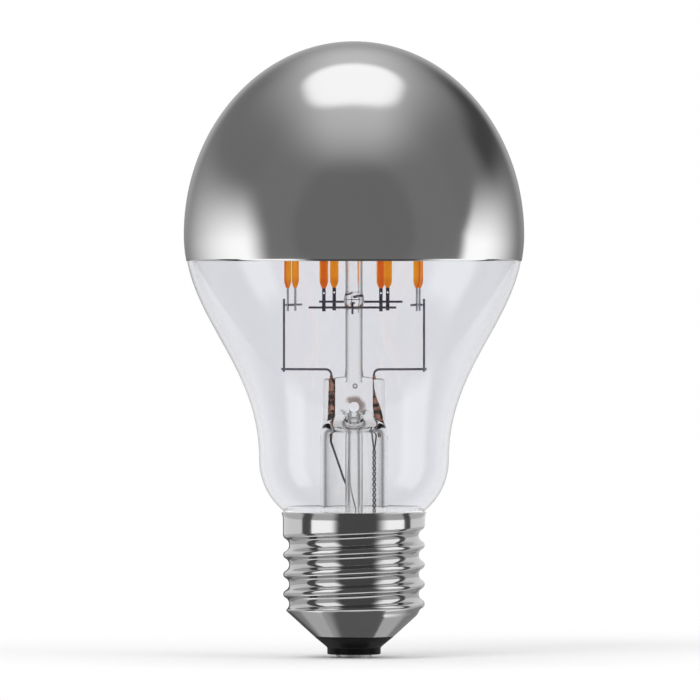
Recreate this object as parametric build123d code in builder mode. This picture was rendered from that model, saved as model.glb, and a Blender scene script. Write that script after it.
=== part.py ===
from build123d import *
import os
from math import asin, atan2, ceil, copysign, cos, degrees, dist, hypot, pi, radians, sin, sqrt, tan

# A clear glass LED filament bulb with a mirrored crown, on a round-thread screw cap.
# Millimetres. +Z runs up the bulb's axis from the middle of the contact's lower face.
# Seen from the front, along +Y, +X is to the right. A name that ends in _height is a
# height above the contact's lower face.

# Screw cap
cap_height = 26.9
cap_wall = 0.3
thread_pitch = 3.629
thread_depth = 1.095
crest_radius = 13.1
crest_height = 13.55  # a crest's height where it passes +X
land_rise = 0.03  # of the narrow flat left at the thread's root
collar_length = 4.0  # the plain band under the rim
collar_step = 0.05  # how far that band stands over the thread's crests
lip_flare = 0.15  # how far the rim turns outwards
lip_length = 0.5
foot_radius = 7.35  # lower end of the shell's cone
foot_height = 3.9
cone_angle = 42.4  # the cone's side, measured from the axis

# Insulator and contact at the foot of the cap
contact_radius = 4.2
contact_thickness = 0.6
contact_rounding = 0.25
eyelet_radius = 1.3
eyelet_wall = 0.4
eyelet_rise = 0.4  # above the insulator
skirt_radius = 4.95
skirt_length = 1.3
insulator_depth = 2.3  # how far the insulator reaches up inside the shell
insulator_step = 0.1  # how far it stands inside the shell's lower edge

# Glass envelope and its mirror coat
glass_wall = 0.8
glass_radius = 31.35
equator_height = 78.2
dome_rise = 35.65  # from the equator to the top
shoulder_reach = 15.5  # how far the curve holds upright below the equator
throat_reach = 18.1  # how far it holds upright above the waist
waist_step = 4.8  # how far the waist stands out over the glass at the cap's rim
waist_height = 36.6
neck_clearance = 0.7  # between the neck and the inside of the thread
neck_taper = 3.0  # from the cap's rim down to the straight neck
neck_length = 3.9  # the straight neck, inside the cap
rim_clearance = 0.1  # between the glass and the inside of the cap's rim
mirror_thickness = 0.15
crown_edge_height = 73.35
cement_margin = 0.3  # the cement's ends stand this far inside the plain band

# Stem: flare, tube and flat press
stem_radius = 6.25
stem_wall = 1.0
flare_length = 5.5
flare_lip = 1.2
press_width = 11.4
press_thickness = 4.4
press_height = 44.4  # where the press begins
press_length = 7.9
press_rounding = 0.5
shoulder_length = 3.0  # from the round tube to the flat press
seal_web = 1.1  # glass left all round between the hollow and the press's sides
exhaust_radius = 1.6
exhaust_wall = 0.65
exhaust_seat = 1.0  # how deep the exhaust tube sits in the press
blow_hole_radius = 0.95
blow_hole_rise = 1.1  # above the end of the exhaust tube

# Pillar that carries the filaments
pillar_radius = 1.6
head_radius = 2.4
head_length = 4.0
bead_radius = 1.9  # swelling where the support wires are fused in
bead_length = 4.4

# Filaments
ring_radius = 12.6
filament_azimuths = {  # degrees from the right-hand side, where each one stands in the ring
    "back_right": 15.0,
    "back_inner_right": 60.0,
    "back_inner_left": 107.0,
    "back_left": 150.0,
    "front_left": 194.0,
    "front_inner_left": 244.0,
    "front_inner_right": 293.0,
    "front_right": 337.0,
}
filament_length = 38.0  # over its two tabs
filament_width = 1.6
filament_thickness = 1.3
filament_taper = 0.9  # length of each narrowed end
filament_tip = 0.5  # share of the full width at the very end
filament_swell = 0.8  # share of it a third of the way along the taper
filament_headroom = 10.85  # from the upper tabs to the inside of the dome
tab_length = 4.2  # what shows of each tab
tab_width = 0.64
tab_thickness = 0.25
tab_seat = 1.0  # what is inside the filament
tab_hole_radius = 0.17
tab_hole_distance = 0.9  # from the filament's end

# Wires
lead_radius = 0.21
bar_radius = 0.2
seal_wire_radius = 0.3
seal_wire_tail = 3.4  # what hangs below the press
left_seal_inset = 1.5  # of its upper end from the press's side
right_seal_inset = 2.0
left_tail_inset = 0.95  # of its lower end from the tube's bore
right_tail_inset = 0.45
arm_rise = 1.2  # above the press
arm_bend_share = 0.85  # the bend's radius, as a share of that rise
arm_overhang = 0.5  # past the riser
riser_offset = 0.35  # outside the ring of filaments
riser_overhang = 0.5  # below the arm
riser_top = 1.1  # above the feed bar
feed_bar_rise = 1.1  # bars above the tabs' lower ends
front_bar_rise = 0.7
back_bar_rise = 1.6
bar_overhang = 2.8
bar_bend = 0.8
support_rise = 0.8  # above the bar
support_tail = 1.2  # below the bar
support_bend = 0.5
support_depth = 0.9  # fused into the pillar
link_apex = 1.0  # a top link's corner, from the axis
link_bend = 0.4
link_overhang = 0.8
lead_bend = 0.8
lead_start = 1.0  # straight below the seal wires
lead_clearance = 1.1  # between the left lead and the exhaust tube
right_lead_inset = 1.5  # of the right lead from the tube's bore
right_turn = 0.12  # shares of the way down to the board: where the right lead leaves the tube's side,
left_turn = 0.3  # where the left one reaches the exhaust tube,
lead_cross = 0.52  # where the left one has passed behind it,
lead_foot = 0.75  # and where both stand upright over the board
left_before = 0.7  # the left lead's place before, past and well past the exhaust tube, in shares of
left_past = 0.25  # its distance behind the tube's axis
left_end = 0.5

# Driver in the cap
board_thickness = 1.0
board_clearance = 0.2
chip_height = 1.5
chip_length = 4.9
chip_width = 3.9
chip_leg_width = 0.4
chip_leg_reach = 1.0
chip_leg_height = 0.25
bridge_length = 4.7
bridge_width = 3.8
bridge_height = 1.6
part_inset = 5.3  # of the chip's and the bridge's middle from the board's edge
tip_clearance = 0.8  # of the exhaust tip over the tallest of them
capacitor_radius = 3.1
capacitor_length = 9.0
capacitor_offset = 4.2  # its axis in front of the bulb's
capacitor_groove = 0.25
capacitor_clearance = 1.2  # over the insulator
resistor_radius = 1.15
resistor_length = 4.0
resistor_x = 2.5
resistor_y = 4.5
resistor_lead = 0.6
neutral_inset = 1.0  # of the neutral wire's foot from the board's edge
seat_clearance = 0.02  # between pieces that rest on each other along a line

# Shape of the cap's thread: equal arcs on crest and root, which meet halfway
root_radius = crest_radius - thread_depth
thread_arc = ((thread_pitch / 2) ** 2 + thread_depth**2) / (4 * thread_depth)
flank_angle = asin(thread_pitch / (4 * thread_arc))
ellipse_handle = 0.5523  # of a curve that follows a quarter of an ellipse
collar_radius = crest_radius + collar_step
collar_height = cap_height - collar_length
cone_slope = tan(radians(cone_angle))
cone_inset = 1 / cos(radians(cone_angle))
shoulder_shift = tan(radians(45) / 2)  # of the band's shoulder, which slopes at 45 degrees
through_margin = 1.0  # how far a cutting or joining shape runs past what it meets
shoulder_depth = collar_step + thread_depth + through_margin

# Heights and radii that follow from the sizes above
insulator_top = foot_height + insulator_depth
rim_radius = collar_radius - cap_wall - rim_clearance
waist_radius = rim_radius + waist_step
lower_drop = waist_height - cap_height
lower_arc = (waist_step**2 + lower_drop**2) / (2 * waist_step)
lower_turn = asin(lower_drop / lower_arc)
neck_top = cap_height - neck_taper
neck_end = neck_top - neck_length
neck_radius = root_radius - cap_wall - neck_clearance
neck_bore = neck_radius - glass_wall
press_top = press_height + press_length
shoulder_height = press_height - shoulder_length
stem_bore = stem_radius - stem_wall
flare_top = neck_end + flare_length
seal_foot_height = press_height - seal_wire_tail
exhaust_top = press_height + exhaust_seat
blow_hole_height = exhaust_top + blow_hole_rise
capacitor_height = insulator_top + capacitor_clearance + capacitor_radius
board_height = capacitor_height + capacitor_radius + seat_clearance
board_top = board_height + board_thickness
board_radius = root_radius - cap_wall - board_clearance
part_spacing = board_radius - part_inset
exhaust_tip = board_top + max(chip_height, bridge_height) + tip_clearance
tab_top = equator_height + dome_rise - glass_wall - filament_headroom
tab_foot_height = tab_top - filament_length
link_height = tab_top + bar_radius
arm_height = press_top + arm_rise
arm_bend = arm_rise * arm_bend_share
riser_distance = ring_radius + riser_offset
riser_y = -2 * lead_radius
feed_bar_height = tab_foot_height + feed_bar_rise
front_bar_height = tab_foot_height + front_bar_rise
back_bar_height = tab_foot_height + back_bar_rise
tab_to_bar = tab_thickness / 2 + bar_radius

os.makedirs("parts", exist_ok=True)


def write(piece, name):
    """Labels a finished piece and writes its file."""
    piece.label = name
    export_step(piece, f"parts/{name}.step")


def round_bar(low, radius, length):
    """An upright round bar on the axis, as a cutting shape."""
    with BuildPart() as bar:
        with BuildSketch(Plane.XY.offset(low)):
            Circle(radius)
        extrude(amount=length)
    return bar.part


def cap_solid(inset, low, high):
    """The cap as a full body between two heights, with its surface moved inwards by inset."""
    crest_arc = thread_arc - inset
    root_arc = thread_arc + inset
    core = root_radius - inset + land_rise
    land = sqrt(root_arc**2 - (root_arc - land_rise) ** 2)
    crest_middle = crest_radius - thread_arc
    flank = (crest_middle + crest_arc * cos(flank_angle), crest_arc * sin(flank_angle))
    foot = (core, thread_pitch / 2 - land)
    sag = (flank_angle + asin(land / root_arc)) / 2
    hollow = (root_radius + thread_arc - root_arc * cos(sag), thread_pitch / 2 - root_arc * sin(sag))
    turns_below = ceil((crest_height - low) / thread_pitch + 0.5)
    start = crest_height - turns_below * thread_pitch
    thread_top = collar_height + collar_length / 2
    collar = collar_radius - inset
    collar_low = collar_height + inset * shoulder_shift
    cone_low = foot_radius - inset * cone_inset + (low - foot_height) * cone_slope
    clear_radius = collar_radius + through_margin
    cone_high = low + (clear_radius - cone_low) / cone_slope

    with BuildPart() as body:
        with BuildLine() as helix:
            Helix(thread_pitch, thread_top - start, crest_radius, center=(0, 0, start))
        with BuildSketch(Plane(origin=(0, 0, start), x_dir=(1, 0, 0), z_dir=(0, -1, 0))):
            with BuildLine():
                ThreePointArc((foot[0], -foot[1]), (hollow[0], -hollow[1]), (flank[0], -flank[1]))
                ThreePointArc((flank[0], -flank[1]), (crest_middle + crest_arc, 0), flank)
                ThreePointArc(flank, hollow, foot)
                Polyline(foot, (core - thread_depth / 2, foot[1]), (core - thread_depth / 2, -foot[1]),
                         (foot[0], -foot[1]))
            make_face()
        sweep(path=helix.line, is_frenet=True)
        add(round_bar(low, core, thread_top - low))
        with BuildSketch(Plane.XZ):
            with BuildLine():
                Polyline(
                    (0, low),
                    (cone_low, low),
                    (clear_radius, cone_high),
                    (clear_radius, high),
                    (0, high),
                    close=True,
                )
            make_face()
        revolve(axis=Axis.Z, mode=Mode.INTERSECT)
        with BuildSketch(Plane.XZ):
            with BuildLine():
                Polyline(
                    (0, collar_low - shoulder_depth),
                    (collar - shoulder_depth, collar_low - shoulder_depth),
                    (collar, collar_low),
                    (collar, cap_height - lip_length),
                    (collar + lip_flare * (high - cap_height + lip_length) / lip_length, high),
                    (0, high),
                    close=True,
                )
            make_face()
        revolve(axis=Axis.Z)
    return body.part


def envelope_solid(inset):
    """The envelope as a full body, with its surface moved inwards by inset."""
    belly = glass_radius - inset
    top = equator_height + dome_rise - inset
    waist = waist_radius - inset
    neck = neck_radius - inset
    lower_radius = lower_arc - inset
    with BuildPart() as body:
        with BuildSketch(Plane.XZ):
            with BuildLine():
                Bezier(
                    (0, top),
                    (belly * ellipse_handle, top),
                    (belly, equator_height + (top - equator_height) * ellipse_handle),
                    (belly, equator_height),
                )
                Bezier(
                    (belly, equator_height),
                    (belly, equator_height - shoulder_reach),
                    (waist, waist_height + throat_reach),
                    (waist, waist_height),
                )
                lower = CenterArc((waist - lower_radius, waist_height), lower_radius, 0, -degrees(lower_turn))
                Spline(lower @ 1, (neck, neck_top), tangents=[lower % 1, (0, -1)])
                Polyline((neck, neck_top), (neck, neck_end), (0, neck_end), (0, top))
            make_face()
        revolve(axis=Axis.Z)
    return body.part


def bent_wire(points, radius, bend=0.0):
    """A round wire along points, with its corners rounded by bend."""
    with BuildPart() as wire:
        with BuildLine() as route:
            if len(points) > 2:
                FilletPolyline(*points, radius=bend)
            else:
                Line(*points)
        with BuildSketch(Plane(origin=route.line @ 0, z_dir=route.line % 0)):
            Circle(radius)
        sweep()
    return wire.part


# Cap shell: drawn sheet with the round thread, the foot's cone and the turned rim
cap_outside = cap_solid(0, foot_height, cap_height)
cap_inside = cap_solid(cap_wall, foot_height - through_margin, cap_height + through_margin)
with BuildPart() as cap_shell:
    add(cap_outside)
    add(cap_inside, mode=Mode.SUBTRACT)
write(cap_shell.part, "cap_shell")

# Insulator: fills the foot of the shell and reaches below it as a skirt
shell_bore_low = foot_radius - cap_wall * cone_inset
with BuildPart() as cap_insulator:
    with BuildSketch(Plane.XZ):
        with BuildLine():
            Polyline(
                (eyelet_radius, contact_thickness),
                (skirt_radius, contact_thickness),
                (skirt_radius, contact_thickness + skirt_length),
                (foot_radius - insulator_step, foot_height),
                (shell_bore_low, foot_height),
                (shell_bore_low + insulator_depth * cone_slope, insulator_top),
                (eyelet_radius, insulator_top),
                close=True,
            )
        make_face()
    revolve(axis=Axis.Z)
write(cap_insulator.part, "cap_insulator")

# Contact: a disc with an eyelet through the insulator
eyelet_bore = eyelet_radius - eyelet_wall
eyelet_top = insulator_top + eyelet_rise
with BuildPart() as centre_contact:
    with BuildSketch(Plane.XZ):
        with BuildLine():
            Polyline(
                (0, 0),
                (contact_radius, 0),
                (contact_radius, contact_thickness),
                (eyelet_radius, contact_thickness),
                (eyelet_radius, eyelet_top),
                (eyelet_bore, eyelet_top),
                (eyelet_bore, contact_thickness),
                (0, contact_thickness),
                close=True,
            )
        make_face()
    revolve(axis=Axis.Z)
    fillet(centre_contact.edges().filter_by(GeomType.CIRCLE).group_by(Axis.Z)[0], radius=contact_rounding)
write(centre_contact.part, "centre_contact")

# Envelope: blown glass of one wall
glass_outside = envelope_solid(0)
glass_inside = envelope_solid(glass_wall)
with BuildPart() as glass_envelope:
    add(glass_outside)
    add(glass_inside, mode=Mode.SUBTRACT)
write(glass_envelope.part, "glass_envelope")

# Crown: the mirror coat on the dome
mirror_outside = envelope_solid(-mirror_thickness)
with BuildPart() as mirror_crown:
    add(mirror_outside)
    add(glass_outside, mode=Mode.SUBTRACT)
    split(bisect_by=Plane.XY.offset(crown_edge_height), keep=Keep.TOP)
write(mirror_crown.part, "mirror_crown")

# Cement between the neck and the cap's plain band
cement_low = collar_height + cement_margin
cement_bar = round_bar(cement_low, collar_radius - cap_wall, collar_length - lip_length - 2 * cement_margin)
with BuildPart() as basing_cement:
    add(cement_bar)
    add(glass_outside, mode=Mode.SUBTRACT)
    add(glass_inside, mode=Mode.SUBTRACT)
write(basing_cement.part, "basing_cement")

# Seal wires, arms and risers on each side
left_seal = [
    (left_seal_inset - press_width / 2, 0, press_top),
    (left_tail_inset - stem_bore, 0, seal_foot_height),
]
right_seal = [
    (press_width / 2 - right_seal_inset, 0, press_top),
    (stem_bore - right_tail_inset, 0, seal_foot_height),
]
seal_wires = {}
for side, (seal_top, seal_foot) in {"left": left_seal, "right": right_seal}.items():
    hand = copysign(1, seal_top[0])
    lean = (seal_top[0] - seal_foot[0]) / (seal_top[2] - seal_foot[2])
    seal_wires[side] = bent_wire([seal_top, seal_foot], seal_wire_radius)
    write(seal_wires[side], f"{side}_seal_wire")

    arm_corner = (seal_top[0] + lean * arm_rise, 0, arm_height)
    arm_end = (hand * (riser_distance + arm_overhang), 0, arm_height)
    write(bent_wire([seal_top, arm_corner, arm_end], lead_radius, arm_bend), f"{side}_arm")

    riser_foot = (hand * riser_distance, riser_y, arm_height - riser_overhang)
    riser_head = (hand * riser_distance, riser_y, feed_bar_height + riser_top)
    write(bent_wire([riser_foot, riser_head], lead_radius), f"{side}_riser")

# Exhaust tube: open at the press, melted shut at its lower end
exhaust_bore = exhaust_radius - exhaust_wall
with BuildPart() as exhaust_tube:
    with BuildSketch(Plane.XZ):
        with BuildLine():
            CenterArc((0, exhaust_tip + exhaust_radius), exhaust_radius, -90, 90)
            Polyline(
                (exhaust_radius, exhaust_tip + exhaust_radius),
                (exhaust_radius, exhaust_top),
                (exhaust_bore, exhaust_top),
                (exhaust_bore, exhaust_tip + exhaust_radius),
            )
            CenterArc((0, exhaust_tip + exhaust_radius), exhaust_bore, 0, -90)
            Line((0, exhaust_tip + exhaust_wall), (0, exhaust_tip))
        make_face()
    revolve(axis=Axis.Z)
write(exhaust_tube.part, "exhaust_tube")

# Stem: the flare fused to the neck, the tube, and the press pinched flat around the seal wires
lip_height = neck_end + flare_lip
hollow_width = press_width - 2 * seal_web
hollow_thickness = press_thickness - 2 * seal_web
bore_above_tube = round_bar(exhaust_top, exhaust_bore, blow_hole_rise)
exhaust_socket = round_bar(shoulder_height, exhaust_radius, exhaust_top - shoulder_height)
with BuildPart() as stem_flare:
    with BuildSketch(Plane.XZ):
        with BuildLine():
            Polyline((stem_bore, flare_top), (stem_bore, shoulder_height), (stem_radius, shoulder_height),
                     (stem_radius, flare_top))
            Bezier((stem_radius, flare_top), (stem_radius, lip_height), (neck_bore, lip_height))
            Polyline((neck_bore, lip_height), (neck_bore, neck_end), (neck_bore - flare_lip, neck_end))
            Bezier((neck_bore - flare_lip, neck_end), (stem_bore, neck_end), (stem_bore, flare_top))
        make_face()
    revolve(axis=Axis.Z)
    with BuildSketch(Plane.XY.offset(shoulder_height)):
        Circle(stem_radius)
    with BuildSketch(Plane.XY.offset(press_height)):
        SlotOverall(press_width, press_thickness)
    loft()
    with BuildSketch(Plane.XY.offset(press_height)):
        SlotOverall(press_width, press_thickness)
    extrude(amount=press_length)
    fillet(stem_flare.edges().group_by(Axis.Z)[-1], radius=press_rounding)
    with BuildSketch(Plane.XY.offset(shoulder_height)):
        Circle(stem_bore)
    with BuildSketch(Plane.XY.offset(press_height)):
        SlotOverall(hollow_width, hollow_thickness)
    loft(mode=Mode.SUBTRACT)
    with BuildSketch(Plane.XZ):
        with Locations((0, blow_hole_height)):
            Circle(blow_hole_radius)
    extrude(amount=press_thickness, both=True, mode=Mode.SUBTRACT)
    add(exhaust_socket, mode=Mode.SUBTRACT)
    add(bore_above_tube, mode=Mode.SUBTRACT)
    add(seal_wires["left"], mode=Mode.SUBTRACT)
    add(seal_wires["right"], mode=Mode.SUBTRACT)
write(stem_flare.part, "stem_flare")

# Ring of filaments: each stands beside the bar that feeds it, with its tabs flat against that bar
places = {}
for place_name, azimuth in filament_azimuths.items():
    places[place_name] = (ring_radius * cos(radians(azimuth)), ring_radius * sin(radians(azimuth)))


def beside(start, place):
    """Direction from start that passes the tab at place on the side of the bulb's axis."""
    run = (place[0] - start[0], place[1] - start[1])
    side = copysign(1, run[1] * place[0] - run[0] * place[1])
    return atan2(run[1], run[0]) + side * asin(tab_to_bar / hypot(*run))


def along(start, direction, length, height):
    """The point that lies at length along direction from start."""
    return (start[0] + length * cos(direction), start[1] + length * sin(direction), height)


# Feed bars: one bent wire on each riser, out to the front and the back filament of its side
turns = {}
for side, hand in (("left", -1), ("right", 1)):
    apex = (hand * (riser_distance - lead_radius - bar_radius), riser_y)
    ends = []
    for place_name in (f"front_{side}", f"back_{side}"):
        place = places[place_name]
        turns[place_name] = beside(apex, place)
        ends.append(along(apex, turns[place_name], dist(apex, place) + bar_overhang, feed_bar_height))
    feed_route = [ends[0], (*apex, feed_bar_height), ends[1]]
    write(bent_wire(feed_route, bar_radius, bar_bend), f"{side}_feed_bar")

# Link bars: one straight wire past the two inner filaments at the front, and one at the back
bar_rows = {
    "front": ("front_inner_left", "front_inner_right", front_bar_height),
    "back": ("back_inner_right", "back_inner_left", back_bar_height),
}
bar_middles = {}
for row, (first_name, second_name, height) in bar_rows.items():
    first = places[first_name]
    second = places[second_name]
    direction = atan2(second[1] - first[1], second[0] - first[0])
    turns[first_name] = direction
    turns[second_name] = direction
    inwards = direction + pi / 2
    seat = along(first, inwards, tab_to_bar, height)
    bar_ends = [
        along(seat, direction, -bar_overhang, height),
        along(seat, direction, dist(first, second) + bar_overhang, height),
    ]
    write(bent_wire(bar_ends, bar_radius), f"{row}_link_bar")
    bar_middles[row] = along(seat, direction, dist(first, second) / 2, height)

# Supports: wires fused in the pillar, which run out to the link bars and turn down inside them
support_wires = {}
for row, (x, y, height) in bar_middles.items():
    outwards = atan2(y, x)
    reach = hypot(x, y) - 2 * bar_radius - seat_clearance
    root = along((0, 0), outwards, pillar_radius - support_depth, height + support_rise)
    corner = along((0, 0), outwards, reach, height + support_rise)
    tail = along((0, 0), outwards, reach, height - support_tail)
    support_wires[row] = bent_wire([root, corner, tail], bar_radius, support_bend)
    write(support_wires[row], f"{row}_support")

# Top links: each wire is fused in the pillar's head by its corner and lies on two upper tabs
top_links = {}
for row in ("front", "back"):
    for side in ("left", "right"):
        outer = places[f"{row}_{side}"]
        inner = places[f"{row}_inner_{side}"]
        middle = atan2(outer[1] + inner[1], outer[0] + inner[0])
        apex = along((0, 0), middle, link_apex, link_height)
        ends = []
        for place in (outer, inner):
            outwards = atan2(place[1] - apex[1], place[0] - apex[0])
            ends.append(along(apex, outwards, dist(apex[:2], place) + link_overhang, link_height))
        link_name = f"top_link_{row}_{side}"
        top_links[link_name] = bent_wire([ends[0], apex, ends[1]], bar_radius, link_bend)
        write(top_links[link_name], link_name)

# Pillar: a glass rod on the press, with a bead at the supports and a head at the top links
head_height = link_height - head_length / 2
head_top = head_height + head_length
bead_height = tab_foot_height + (front_bar_rise + back_bar_rise) / 2 + support_rise
bead_low = bead_height - bead_length / 2
bead_high = bead_height + bead_length / 2
with BuildPart() as glass_pillar:
    with BuildSketch(Plane.XZ):
        with BuildLine():
            Polyline((pillar_radius, bead_low), (pillar_radius, press_top), (0, press_top), (0, head_top))
            ThreePointArc((0, head_top), (head_radius, link_height), (pillar_radius, head_height))
            Line((pillar_radius, head_height), (pillar_radius, bead_high))
            Spline((pillar_radius, bead_high), (bead_radius, bead_height), (pillar_radius, bead_low),
                   tangents=[(0, -1), (0, -1)])
        make_face()
    revolve(axis=Axis.Z)
    for wire in (*support_wires.values(), *top_links.values()):
        add(wire, mode=Mode.SUBTRACT)
write(glass_pillar.part, "glass_pillar")

# Filaments: a tapered body moulded over the ends of its two tabs
body_length = filament_length - 2 * tab_length
body_height = tab_foot_height + tab_length
taper_steps = [(0.0, filament_tip), (filament_taper / 3, filament_swell), (filament_taper, 1.0)]
body_steps = taper_steps + [(body_length - rise, share) for rise, share in reversed(taper_steps)]
hole_rises = (tab_length - tab_hole_distance, filament_length - tab_length + tab_hole_distance)
for index, place_name in enumerate(filament_azimuths):
    place = places[place_name]
    facing = (cos(turns[place_name]), sin(turns[place_name]), 0)
    with BuildPart() as tabs:
        for low in (tab_foot_height, body_height + body_length - tab_seat):
            with BuildSketch(Plane(origin=(*place, low), x_dir=facing, z_dir=(0, 0, 1))):
                Rectangle(tab_width, tab_thickness)
            extrude(amount=tab_length + tab_seat)
        across = (-facing[1], facing[0], 0)
        for rise in hole_rises:
            with BuildSketch(Plane(origin=(*place, tab_foot_height + rise), x_dir=facing, z_dir=across)):
                Circle(tab_hole_radius)
            extrude(amount=tab_thickness, both=True, mode=Mode.SUBTRACT)
    write(tabs.part, f"filament_tabs_{index + 1}")
    with BuildPart() as filament:
        for rise, share in body_steps:
            with BuildSketch(Plane(origin=(*place, body_height + rise), x_dir=facing, z_dir=(0, 0, 1))):
                Ellipse(filament_width / 2 * share, filament_thickness / 2 * share)
        loft(ruled=True)
        add(tabs.part, mode=Mode.SUBTRACT)
    write(filament.part, f"filament_{index + 1}")

# Driver board: a round board held by its edge in the thread's bore
with BuildPart() as driver_board:
    with BuildSketch(Plane.XY.offset(board_height)):
        Circle(board_radius)
    extrude(amount=board_thickness)
write(driver_board.part, "driver_board")

# Driver chip: a moulded body on four legs a side
with BuildPart() as driver_chip:
    with BuildSketch(Plane.XY.offset(board_top)):
        with Locations((part_spacing, -chip_length / 2)):
            Rectangle(chip_width, chip_length)
    extrude(amount=chip_height)
    with BuildSketch(Plane.XY.offset(board_top)):
        with Locations((part_spacing, -chip_length / 2)):
            with GridLocations(0, chip_length / 4, 1, 4):
                Rectangle(chip_width + 2 * chip_leg_reach, chip_leg_width)
    extrude(amount=chip_leg_height)
write(driver_chip.part, "driver_chip")

# Bridge rectifier: the same build with two legs a side
with BuildPart() as bridge_rectifier:
    with BuildSketch(Plane.XY.offset(board_top)):
        with Locations((-part_spacing, -bridge_length / 2)):
            Rectangle(bridge_width, bridge_length)
    extrude(amount=bridge_height)
    with BuildSketch(Plane.XY.offset(board_top)):
        with Locations((-part_spacing, -bridge_length / 2)):
            with GridLocations(0, bridge_length / 2, 1, 2):
                Rectangle(bridge_width + 2 * chip_leg_reach, chip_leg_width)
    extrude(amount=chip_leg_height)
write(bridge_rectifier.part, "bridge_rectifier")

# Smoothing capacitor: a can that lies under the board, with the groove of its seal at one end
groove_start = capacitor_length / 2 - 4 * capacitor_groove
with BuildPart() as smoothing_capacitor:
    with BuildSketch(Plane.XY):
        with BuildLine():
            Polyline(
                (-capacitor_length / 2, 0),
                (-capacitor_length / 2, capacitor_radius),
                (groove_start - 2 * capacitor_groove, capacitor_radius),
                (groove_start - capacitor_groove, capacitor_radius - capacitor_groove),
                (groove_start, capacitor_radius),
                (capacitor_length / 2, capacitor_radius),
                (capacitor_length / 2, 0),
                close=True,
            )
        make_face()
    revolve(axis=Axis.X)
can = smoothing_capacitor.part.moved(Location((0, -capacitor_offset, capacitor_height)))
write(can, "smoothing_capacitor")

# Fusible resistor: hangs under the board by its own lead
resistor_top = board_height - resistor_lead
with BuildPart() as fusible_resistor:
    with BuildSketch(Plane.XY.offset(resistor_top - resistor_length)):
        with Locations((resistor_x, resistor_y)):
            Circle(resistor_radius)
    extrude(amount=resistor_length)
    fillet(fusible_resistor.edges().filter_by(GeomType.CIRCLE), radius=resistor_radius / 3)
    with BuildSketch(Plane.XY.offset(resistor_top)):
        with Locations((resistor_x, resistor_y)):
            Circle(lead_radius)
    extrude(amount=resistor_lead)
write(fusible_resistor.part, "fusible_resistor")

# Live wire: from the resistor through the eyelet to the contact
resistor_foot = resistor_top - resistor_length
live_corner = (resistor_foot + eyelet_top) / 2
live_bend = (resistor_foot - live_corner) / 2
live_route = [
    (resistor_x, resistor_y, resistor_foot),
    (resistor_x, resistor_y, live_corner),
    (0, 0, live_corner),
    (0, 0, contact_thickness),
]
write(bent_wire(live_route, lead_radius, live_bend), "live_wire")

# Neutral wire: from the board's edge up against the inside of the shell
neutral_seat = board_radius - neutral_inset
neutral_shell = root_radius - cap_wall - lead_radius - seat_clearance
neutral_route = [
    (0, neutral_seat, board_top),
    (0, neutral_seat, board_top + lead_bend * 2),
    (0, neutral_shell, board_top + lead_bend * 4),
    (0, neutral_shell, neck_end - lead_bend / 2),
]
write(bent_wire(neutral_route, lead_radius, lead_bend), "neutral_wire")

# Leads: from the seal wires' lower ends down past the exhaust tube to the board
lead_drop = seal_foot_height - board_top
left_pass = exhaust_radius + lead_radius + lead_clearance
right_pass = stem_bore - right_lead_inset
left_route = [
    left_seal[1],
    (left_seal[1][0], 0, seal_foot_height - lead_start),
    (-left_pass * left_before, left_pass, seal_foot_height - left_turn * lead_drop),
    (left_pass * left_past, left_pass, seal_foot_height - lead_cross * lead_drop),
    (left_pass * left_end, left_pass + lead_clearance, seal_foot_height - lead_foot * lead_drop),
    (left_pass * left_end, left_pass + lead_clearance, board_top),
]
write(bent_wire(left_route, lead_radius, lead_bend), "left_lead")
right_route = [
    right_seal[1],
    (right_seal[1][0], 0, seal_foot_height - lead_start),
    (right_pass, 0, seal_foot_height - right_turn * lead_drop),
    (right_pass, 0, seal_foot_height - lead_cross * lead_drop),
    (right_pass + lead_clearance, lead_clearance, seal_foot_height - lead_foot * lead_drop),
    (right_pass + lead_clearance, lead_clearance, board_top),
]
write(bent_wire(right_route, lead_radius, lead_bend), "right_lead")
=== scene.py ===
import math

import bmesh
import bpy
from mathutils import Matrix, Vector


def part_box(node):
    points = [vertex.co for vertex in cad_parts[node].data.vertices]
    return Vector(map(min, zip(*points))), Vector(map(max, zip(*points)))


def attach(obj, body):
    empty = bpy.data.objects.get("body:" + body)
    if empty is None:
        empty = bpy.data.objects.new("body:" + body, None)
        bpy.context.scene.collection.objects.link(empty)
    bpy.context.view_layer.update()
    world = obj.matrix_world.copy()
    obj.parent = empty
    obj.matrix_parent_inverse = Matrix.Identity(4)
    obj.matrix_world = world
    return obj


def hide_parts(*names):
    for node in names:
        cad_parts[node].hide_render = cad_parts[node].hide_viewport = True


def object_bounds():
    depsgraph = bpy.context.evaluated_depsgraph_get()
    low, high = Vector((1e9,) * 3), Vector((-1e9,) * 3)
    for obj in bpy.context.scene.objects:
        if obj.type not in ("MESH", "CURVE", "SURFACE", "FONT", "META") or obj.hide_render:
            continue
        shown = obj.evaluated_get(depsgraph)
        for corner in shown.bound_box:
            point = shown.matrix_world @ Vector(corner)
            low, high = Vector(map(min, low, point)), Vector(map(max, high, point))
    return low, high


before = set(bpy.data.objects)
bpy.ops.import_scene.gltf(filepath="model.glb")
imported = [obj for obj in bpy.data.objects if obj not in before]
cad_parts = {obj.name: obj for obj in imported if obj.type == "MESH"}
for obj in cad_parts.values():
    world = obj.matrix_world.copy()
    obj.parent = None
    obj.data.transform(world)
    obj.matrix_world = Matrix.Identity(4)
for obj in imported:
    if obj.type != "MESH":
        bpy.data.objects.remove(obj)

bl_info = {
    "name": "Silver crown bulb",
    "version": (1, 0, 0),
    "blender": (4, 5, 0),
    "location": "View3D > Sidebar > Bulb",
    "description": "Models and finishes a mirrored filament bulb around its CAD frame",
    "category": "Object",
}

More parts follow.
